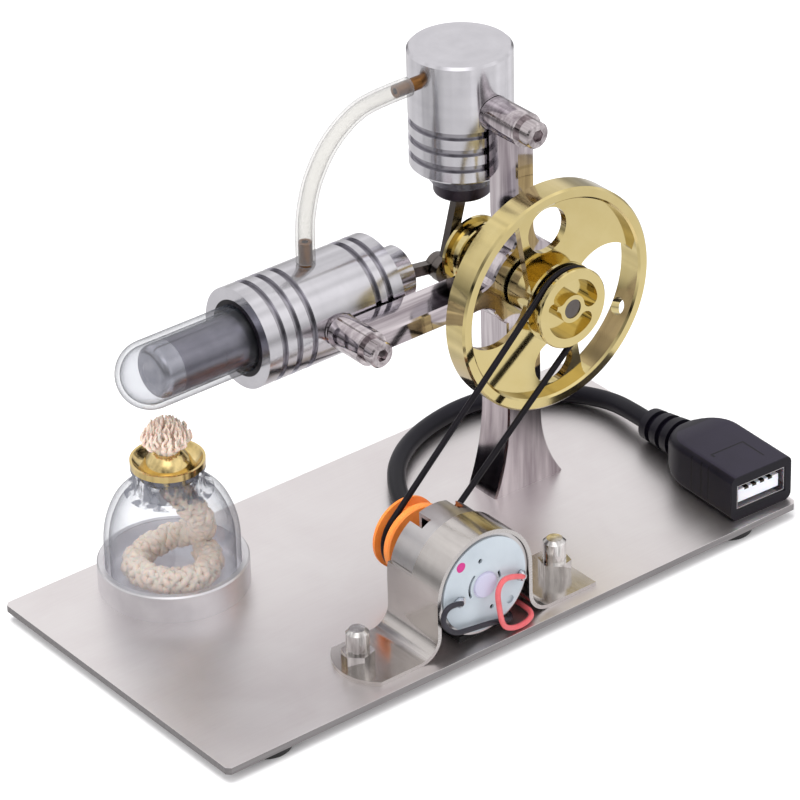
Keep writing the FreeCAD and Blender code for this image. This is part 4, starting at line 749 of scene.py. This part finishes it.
def tray_metal():
    finish = Finish("turned_aluminium_seat")
    along, outward = finish.from_axis(*lamp_axis)
    rings = finish.lines(along + outward, 0.16, detail=3.0)
    haze = finish.noise(5.0, detail=3.0)
    inside = (outward < seat_wall * MM) * (along < seat_rim * MM)
    glow = finish.blend(inside, (0, 0, 0, 1), tone(176, 174, 178))
    return finish.surface({
        "Base Color": finish.blend(haze, tone(212, 210, 214), tone(240, 239, 241)),
        "Metallic": 1.0 - inside * 0.8, "Emission Color": glow, "Emission Strength": 0.6,
        "Roughness": 0.3 + rings * 0.06 + haze * 0.05,
        "Normal": finish.bump(rings, 0.0012, 0.5)})


seat_metal = tray_metal()
print("lamp seat:", seat_metal.name)

# %% [markdown]
# Screws, pins, rods and contacts are too small to show how they were made. What the eye
# takes in is a slight change of tone and a surface that isn't quite flat, so soft haze
# and fine specks are enough. Only the tones and the roughness tell them apart.

# %% Plated and plain steel
def smooth_metal(name, dark, light, roughness, spot=6.0, depth=0.002):
    finish = Finish(name)
    haze = finish.noise(spot, detail=4.0)
    specks = finish.noise(0.35, detail=2.0)
    return finish.surface({
        "Base Color": finish.blend(haze, dark, light), "Metallic": 1.0,
        "Roughness": roughness + haze * 0.06 + specks * 0.03,
        "Normal": finish.bump(specks, depth, 0.4)})


zinc_steel = smooth_metal("zinc_steel", tone(186, 184, 186), tone(222, 220, 220), 0.16, spot=3.0)
dark_steel = smooth_metal("dark_steel", tone(92, 86, 84), tone(124, 118, 114), 0.2, spot=3.0,
                          depth=0.004)
solder_metal = smooth_metal("solder", tone(206, 208, 214), tone(236, 238, 244), 0.22, spot=0.8,
                            depth=0.02)
# The socket's contacts sit in its mouth and are painted dark, as shade.
contact_in_shade = smooth_metal("contact_in_shade", tone(58, 52, 48), tone(92, 84, 74), 0.3, spot=1.0)
print("small metals:", zinc_steel.name, dark_steel.name, solder_metal.name, contact_in_shade.name)

# %% [markdown]
# ## Plastics and rubber
# Moulded plastic is never quite even: its colour drifts a little and its skin has a
# fine orange-peel texture. Rubber is duller, with dust-like specks.

# %% Moulded pieces
def moulded(name, dark, light, roughness, spot=4.0, peel=0.3, depth=0.006, sub=0.0, gloss=0.5):
    finish = Finish(name)
    drift = finish.noise(spot, detail=3.0)
    peel_noise = finish.noise(peel, detail=2.0)
    sockets = {
        "Base Color": finish.blend(drift, dark, light),
        "Roughness": roughness + drift * 0.08 + peel_noise * 0.06, "Specular IOR Level": gloss,
        "Normal": finish.bump(peel_noise, depth, 0.5)}
    if sub:
        sockets["Subsurface Weight"] = sub
        sockets["Subsurface Scale"] = 1 * MM
    return finish.surface(sockets)


foot_rubber = moulded("foot_rubber", tone(20, 20, 21), tone(38, 37, 38), 0.62, depth=0.012)
belt_rubber = moulded("belt_rubber", tone(8, 6, 10), tone(22, 18, 25), 0.3, spot=2.0, gloss=0.22)
sheath = moulded("black_sheath", tone(9, 8, 14), tone(24, 22, 32), 0.32, spot=7.0, gloss=0.22)
tongue_white = moulded("white_plastic", tone(222, 222, 232), tone(246, 246, 250), 0.3, sub=0.2)
pulley_orange = moulded("orange_plastic", tone(232, 122, 40), tone(248, 156, 82), 0.34, sub=0.2)
ferrite = moulded("ferrite", tone(44, 42, 42), tone(64, 62, 62), 0.55)
coral_sleeve = moulded("red_sleeve", tone(194, 74, 82), tone(222, 112, 114), 0.34, spot=2.0,
                       sub=0.1)
dark_sleeve = moulded("dark_sleeve", tone(30, 29, 35), tone(54, 52, 60), 0.3, spot=2.0, gloss=0.35)
mark_paint = moulded("mark_paint", tone(178, 20, 112), tone(204, 44, 136), 0.4, spot=0.6)
print("nine moulded finishes, from", foot_rubber.name, "to", mark_paint.name)

# %% [markdown]
# The generator's cap is one pale moulding with a lilac boss. Its slots and holes go
# right through, and what lies behind is dark, so we paint shade, nearly black, on
# whatever stands more than a hair behind the front face.

# %% Generator cap
boss_radius, face_depth = 2.75, 0.55


def generator_cap():
    finish = Finish("pale_plastic")
    drift = finish.noise(5.0, detail=3.0)
    peel_noise = finish.noise(0.3, detail=2.0)
    along, outward = finish.from_axis(Y, (motor_x, motor_front, motor_z))
    face = finish.blend(drift, tone(166, 176, 184), tone(190, 199, 206))
    boss = (outward < boss_radius * MM) * 0.75
    # Painted shade: whatever lies deeper than the front face turns nearly black.
    recess_shade = along > face_depth * MM
    lilac = finish.blend(boss, face, tone(186, 180, 206))
    return finish.surface({
        "Base Color": finish.blend(recess_shade, lilac, tone(44, 42, 48)),
        "Roughness": 0.34 + drift * 0.1,
        "Normal": finish.bump(peel_noise, 0.006, 0.5)})


cap_plastic = generator_cap()
print("generator cap:", cap_plastic.name)

# %% [markdown]
# The outlet socket's black shell has three shallow grip grooves on each side, and a
# plain bracket line on top. They are too fine to cut, so one mask paints shade into them
# and sinks them. It is drawn in the socket's own directions: across it, and back from its mouth.

# %% Socket shell
shell_side, shell_top = 7.3, 13.3
groove_half, groove_reaches = 0.22, (7.2, 9.4, 12.4)
# Each stroke of the bracket is a rectangle: its middle, then half its width and depth.
bracket_strokes = {(-0.9, 9.6): (4.1, 0.18), (3.1, 6.4): (0.18, 3.3), (-4.9, 9.1): (0.18, 0.6)}


def socket_shell():
    finish = Finish("black_plastic")
    x, y, z = finish.axes()
    x, y = x - socket_x * MM, y - socket_y * MM
    across = x * math.cos(socket_yaw) + y * math.sin(socket_yaw)
    back = y * math.cos(socket_yaw) - x * math.sin(socket_yaw)
    on_side = abs(across) > shell_side * MM
    on_top = z > shell_top * MM
    grooves = sum(abs(back - reach * MM) < groove_half * MM for reach in groove_reaches)
    bracket = sum((abs(across - x * MM) < half_x * MM) * (abs(back - y * MM) < half_y * MM)
                  for (x, y), (half_x, half_y) in bracket_strokes.items())
    # Painted shade in the grip grooves and the bracket line.
    lines = on_side * grooves + on_top * bracket
    lines = lines.work("MINIMUM", lines, 1.0)
    drift = finish.noise(5.0, detail=3.0)
    peel_noise = finish.noise(0.3, detail=2.0)
    # The top is painted lighter, as lit from above, over a drifting tone.
    drift_and_lit_top = finish.blend(on_top * 0.6 + drift * 0.4, tone(6, 5, 12), tone(38, 34, 48))
    return finish.surface({
        "Base Color": finish.blend(lines, drift_and_lit_top, tone(3, 2, 6)),
        "Roughness": 0.36 + drift * 0.08,
        "Specular IOR Level": 0.24,
        "Normal": finish.bump(peel_noise * 0.03 - lines * 0.25, 0.25, 0.6)})


socket_black = socket_shell()
print("socket shell:", socket_black.name)

# %% [markdown]
# ## Glass and silicone
# The bottle, the hot cap and the liner are thin blown glass. Thin glass hardly bends
# light, so we leave refraction out: a clear shader lets the view and the light straight
# through, a mirror-like one shines over it where we look along the surface, and a grey
# one draws the dark edge that a thick rim shows.

# %% Thin glass
neck_bottom, liner_lip = 24.6, 68.6


def thin_glass(name, clearness, edge_tint, edge_strength, edge_power, shine, grey_share):
    """`grey_share` gives, for a finish, how much grey the glass shows away from its edge."""
    finish = Finish(name)
    ripple = finish.bump(finish.noise(6.0, detail=1.0), 0.03, 0.2)
    through = finish.node("BsdfTransparent", {"Color": clearness})
    rim = finish.node("BsdfPrincipled", {
        "Base Color": edge_tint, "Roughness": 0.5, "Specular IOR Level": 0.08, "Normal": ripple})
    gleam = finish.node("BsdfPrincipled", {
        "Base Color": (1, 1, 1, 1), "Metallic": 1.0, "Roughness": 0.03, "Normal": ripple})
    # Grey away from the edge; on the bottle's neck this is painted refraction of the room.
    edge = finish.edge_on(edge_power) * edge_strength + grey_share(finish)
    body = finish.layer(edge, through, rim)
    return finish.show(finish.layer(finish.edge_on(2.2) * shine + 0.03, body, gleam))


def neck_streaks(finish):
    """Thick glass in the neck bends the room into dark and light patches."""
    in_neck = finish.axes()[Z] > neck_bottom * MM
    patch = (finish.noise(1.7, detail=1.0, stretch=(1, 1, 0.5)) - 0.42) * 4.5
    return in_neck * patch.smooth_max(0.0, 0.05).smooth_min(0.8, 0.05)


def cap_grey(finish):
    """The cap's glass shows faintly grey in patches."""
    return finish.noise(9.0, detail=1.0) * 0.1


def liner_grey(finish):
    """The liner shows greyer below its lip, where it looks dark against the piston."""
    return (finish.axes()[Z] < liner_lip * MM) * 0.22


cap_glass = thin_glass("clear_glass", (0.93, 0.934, 0.945, 1), tone(62, 66, 74),
                       edge_strength=0.9, edge_power=3.2, shine=0.16, grey_share=cap_grey)
liner_glass = thin_glass("liner_glass", (0.9, 0.9, 0.92, 1), tone(120, 118, 126),
                         edge_strength=0.8, edge_power=2.0, shine=0.3, grey_share=liner_grey)
bottle_glass = thin_glass("bottle_glass", (0.945, 0.95, 0.96, 1), tone(92, 94, 104),
                          edge_strength=0.85, edge_power=3.2, shine=0.16, grey_share=neck_streaks)
print("glasses:", cap_glass.name, liner_glass.name, bottle_glass.name)

# %% [markdown]
# The hose is silicone: clear, but with a milky haze that gathers where we look along its
# wall. So a pale, slightly glossy shader lies thinly over a clear one and thickens
# towards the edges.

# %% Silicone
def silicone_skin():
    finish = Finish("silicone")
    haze = finish.noise(4.0, detail=2.0)
    through = finish.node("BsdfTransparent", {"Color": (0.93, 0.925, 0.91, 1)})
    milky = finish.node("BsdfPrincipled", {
        "Base Color": finish.blend(haze, tone(156, 156, 159), tone(182, 182, 184)),
        "Roughness": 0.24})
    cover = 0.09 + haze * 0.05 + finish.edge_on(1.8) * 0.6
    return finish.show(finish.layer(cover, through, milky))


silicone = silicone_skin()
print("hose:", silicone.name)

# %% [markdown]
# ## Cotton
# Cotton yarn is matt and a little translucent, cream with warmer shadows between the
# fibres. Fine crossed noise stands in for the hairs.

# %% Cotton yarn
def cotton_yarn():
    finish = Finish("cotton")
    hairs = finish.noise(0.12, detail=4.0, stretch=(1, 1, 0.3))
    cloud = finish.noise(1.6, detail=3.0)
    mixed = hairs * 0.5 + cloud * 0.5
    return finish.surface({
        "Base Color": finish.blend(mixed, tone(214, 184, 166), tone(248, 232, 218)),
        "Roughness": 0.8, "Sheen Weight": 0.4, "Sheen Roughness": 0.5,
        "Subsurface Weight": 0.3, "Subsurface Scale": 1 * MM,
        "Normal": finish.bump(hairs, 0.06, 0.8)})


cotton = cotton_yarn()
print("wick:", cotton.name)

# %% [markdown]
# ## Dress the solids
# Every solid that stays takes its finish here. A CAD mesh arrives as flat triangles, so
# a small geometry node group welds it and shades it smooth, with sharp edges kept
# wherever two faces meet at more than 28 degrees. The mesh itself isn't changed.

# %% Smooth shading without touching the mesh
def smooth_by_angle(degrees):
    group = bpy.data.node_groups.new("smooth_by_angle", "GeometryNodeTree")
    group.interface.new_socket("Geometry", in_out="INPUT", socket_type="NodeSocketGeometry")
    group.interface.new_socket("Geometry", in_out="OUTPUT", socket_type="NodeSocketGeometry")

    def node(kind, sockets, **settings):
        made = group.nodes.new(kind)
        for name, value in settings.items():
            setattr(made, name, value)
        for slot, term in sockets.items():
            if isinstance(term, bpy.types.NodeSocket):
                group.links.new(term, made.inputs[slot])
            else:
                made.inputs[slot].default_value = term
        return made.outputs

    start = node("NodeGroupInput", {})
    welded = node("GeometryNodeMergeByDistance", {0: start[0], "Distance": 1e-7})
    soft = node("GeometryNodeSetShadeSmooth", {0: welded[0], "Shade Smooth": True}, domain="FACE")
    angle = node("GeometryNodeInputMeshEdgeAngle", {})
    sharp = node("FunctionNodeCompare", {0: angle[0], 1: math.radians(degrees)},
                 operation="GREATER_THAN")
    edged = node("GeometryNodeSetShadeSmooth",
                 {0: soft[0], "Selection": sharp[0], "Shade Smooth": False}, domain="EDGE")
    node("NodeGroupOutput", {0: edged[0]})
    return group


smoothing = smooth_by_angle(28.0)
print("node group", smoothing.name, "with", len(smoothing.nodes), "nodes")

# %% [markdown]
# Now one table says which finish each solid wears. A material is a Python object, so it
# can be the key, with the solids of that finish after it. The pieces that we built by
# hand come last, and need no smoothing group.

# %% Finish of each solid
dress = {
    plate_steel: ["base_plate"],
    foot_rubber: ["rubber_feet", "motor_pad"],
    upright_plating: ["engine_frame"],
    bolt_plating: ["cylinder_bolts", "bolt_washers", "bolt_spacer"],
    nut_plating: ["strap_cap_nuts"],
    zinc_steel: ["plate_screws", "bearing_outer_rings", "bearing_inner_rings", "bearing_balls",
                 "crank_pin_inner", "crank_pin_outer", "link_pin", "displacer_rod", "wrist_pin",
                 "motor_terminals", "motor_shaft", "strap_studs", "usb_shell"],
    dark_steel: ["bearing_shields", "main_shaft", "set_screws", "power_rod", "displacer_link",
                 "motor_armature"],
    wheel_brass: ["flywheel", "drive_pulley", "crank_disc", "shaft_collars"],
    displacer_metal: ["displacer_cylinder", "displacer_sleeve"],
    plunger_metal: ["displacer"],
    plunger_tip: ["displacer_cap"],
    power_metal: ["power_cylinder"],
    seat_metal: ["lamp_seat"],
    can_steel: ["motor_can"],
    strap_steel: ["motor_strap"],
    bronze: ["guide_bush", "hose_nipples", "motor_bushes"],
    cap_glass: ["hot_cap"],
    liner_glass: ["cylinder_liner"],
    bottle_glass: ["lamp_bottle"],
    graphite: ["power_piston"],
    belt_rubber: ["hot_cap_seal", "drive_belt"],
    cap_plastic: ["motor_end_cap"],
    ferrite: ["motor_magnets"],
    pulley_orange: ["generator_pulley"],
    socket_black: ["usb_body"],
    tongue_white: ["usb_tongue"],
    contact_in_shade: ["usb_contacts"],
    holder_brass: ["wick_holder"],
}


def paint(piece, material):
    piece.data.materials.clear()
    piece.data.materials.append(material)


for material, names in dress.items():
    for name in names:
        piece = nodes[name]
        paint(piece, material)
        modifier = piece.modifiers.new("smooth", "NODES")
        modifier.node_group = smoothing
paint(lead, sheath)
paint(hose, silicone)
paint(wires["coral_wire"][0], coral_sleeve)
paint(wires["dark_wire"][0], dark_sleeve)
for piece in (wick_rope, wick_flower):
    paint(piece, cotton)
paint(wick_dome, holder_brass)
paint(pole_mark, mark_paint)
for piece in solder:
    paint(piece, solder_metal)
print("dressed", sum(map(len, dress.values())), "solids")

# %% [markdown]
# ## Studio
# The floor is plain: white, matt and barely clouded, so that it only carries the soft
# shadows. It is kept out of reflections, because it would cut the metal's lower half off
# with one hard line. What the metal shows instead comes next.

# %% The floor
def stage_object(name, mesh):
    data = bpy.data.meshes.new(name)
    mesh.to_mesh(data)
    mesh.free()
    made = bpy.data.objects.new(name, data)
    bpy.context.scene.collection.objects.link(made)
    return made


floor_reach = 4.0
floor_mesh = bmesh.new()
floor_mesh.faces.new([floor_mesh.verts.new((x * floor_reach, y * floor_reach, 0))
                      for x, y in ((-1, -1), (1, -1), (1, 1), (-1, 1))])
floor = stage_object("floor", floor_mesh)
floor_paint = Finish("floor_paint")
cloudy = floor_paint.noise(120.0, detail=2.0)
paint(floor, floor_paint.surface({
    "Base Color": floor_paint.blend(cloudy, (0.90, 0.90, 0.90, 1), (0.93, 0.93, 0.93, 1)),
    "Roughness": 0.9, "Specular IOR Level": 0.0}))
floor.visible_glossy = False
print("floor", 2 * floor_reach, "m wide")

# %% [markdown]
# Polished metal has no colour of its own: it shows what stands round it. So the engine
# sits in a tent, a sphere that only reflections see. Its cloth glows unevenly: dim at the
# horizon, to the left and below, with a bright panel, a darker doorway and slack folds.
# Each is a term of one sum, by direction.

# %% Light tent
tent_radius = 3.0
tent_mesh = bmesh.new()
bmesh.ops.create_icosphere(tent_mesh, subdivisions=4, radius=tent_radius)
tent = stage_object("light_tent", tent_mesh)
for kind in ("camera", "diffuse", "shadow", "transmission"):
    setattr(tent, "visible_" + kind, False)
cloth = Finish("tent_cloth")
across, deep, high = (place / tent_radius for place in cloth.axes())
steepness = high * high * -26.0
horizon = steepness.work("EXPONENT", steepness)
lower = (high * -1.0).smooth_max(0.0, 0.1)
left_shade = (across * -1.3 - 0.35).smooth_max(0.0, 0.2)


def spot(aim, size, sharpness=14.0):
    """1 within a cone of that many degrees round a direction, 0 outside it, softly."""
    aim = Vector(aim).normalized()
    towards = across * aim.x + deep * aim.y + high * aim.z
    inside = (towards - math.cos(math.radians(size))) * sharpness
    return inside.smooth_max(0.0, 0.1).smooth_min(1.0, 0.1)


slack = cloth.node("TexNoise", {"Vector": cloth.place(), "Scale": 1.1, "Detail": 2.0,
                                "Distortion": 0.8})
folds = ((slack - 0.5) * 2.4).smooth_max(-0.5, 0.2).smooth_min(0.5, 0.2)
panel = spot((-0.35, -0.45, 0.82), 24)
doorway = spot((-0.52, -0.68, 0.45), 30)
shade = horizon * 0.55 + left_shade * 0.3 + lower * 0.2 + doorway * 0.4
glow = 0.95 - shade + panel * 0.8 + folds * 0.5
light_colour = cloth.node("VectorMath", {0: (1.0, 0.985, 0.99), "Scale": glow}, operation="SCALE")
paint(tent, cloth.show(cloth.node("Emission", {"Color": light_colour})))
cloth.material.cycles.emission_sampling = "NONE"
print("tent cloth with", len(cloth.tree.nodes), "nodes")

# %% [markdown]
# Ordinary soft lights do the rest: a wide one overhead, a tall one on each side, and a
# pale world all round. The three are hidden from reflections, so that no hard rectangle
# shows in the metal.

# %% Lights
engine_middle = Vector((0, 0, 0.04))


def soft_light(name, place, width, height, power):
    light = bpy.data.lights.new(name, "AREA")
    light.shape = "RECTANGLE"
    light.size, light.size_y = width, height
    light.energy = power
    made = bpy.data.objects.new(name, light)
    bpy.context.scene.collection.objects.link(made)
    made.location = place
    made.rotation_mode = "QUATERNION"
    made.rotation_quaternion = (engine_middle - made.location).to_track_quat("-Z", "Y")
    made.visible_glossy = False


soft_light("overhead", (-0.1, 0.1, 0.9), width=0.9, height=0.7, power=9.0)
soft_light("left", (-0.8, -0.35, 0.45), width=0.35, height=0.7, power=3.5)
soft_light("right", (0.75, -0.55, 0.4), width=0.25, height=0.6, power=2.5)

world = bpy.data.worlds.new("studio")
bpy.context.scene.world = world
world.use_nodes = True
background = world.node_tree.nodes["Background"].inputs
background["Color"].default_value = (0.86, 0.85, 0.87, 1)
background["Strength"].default_value = 0.75
bpy.context.scene.view_settings.view_transform = "Standard"
print(len(bpy.data.lights), "lights and a pale world")
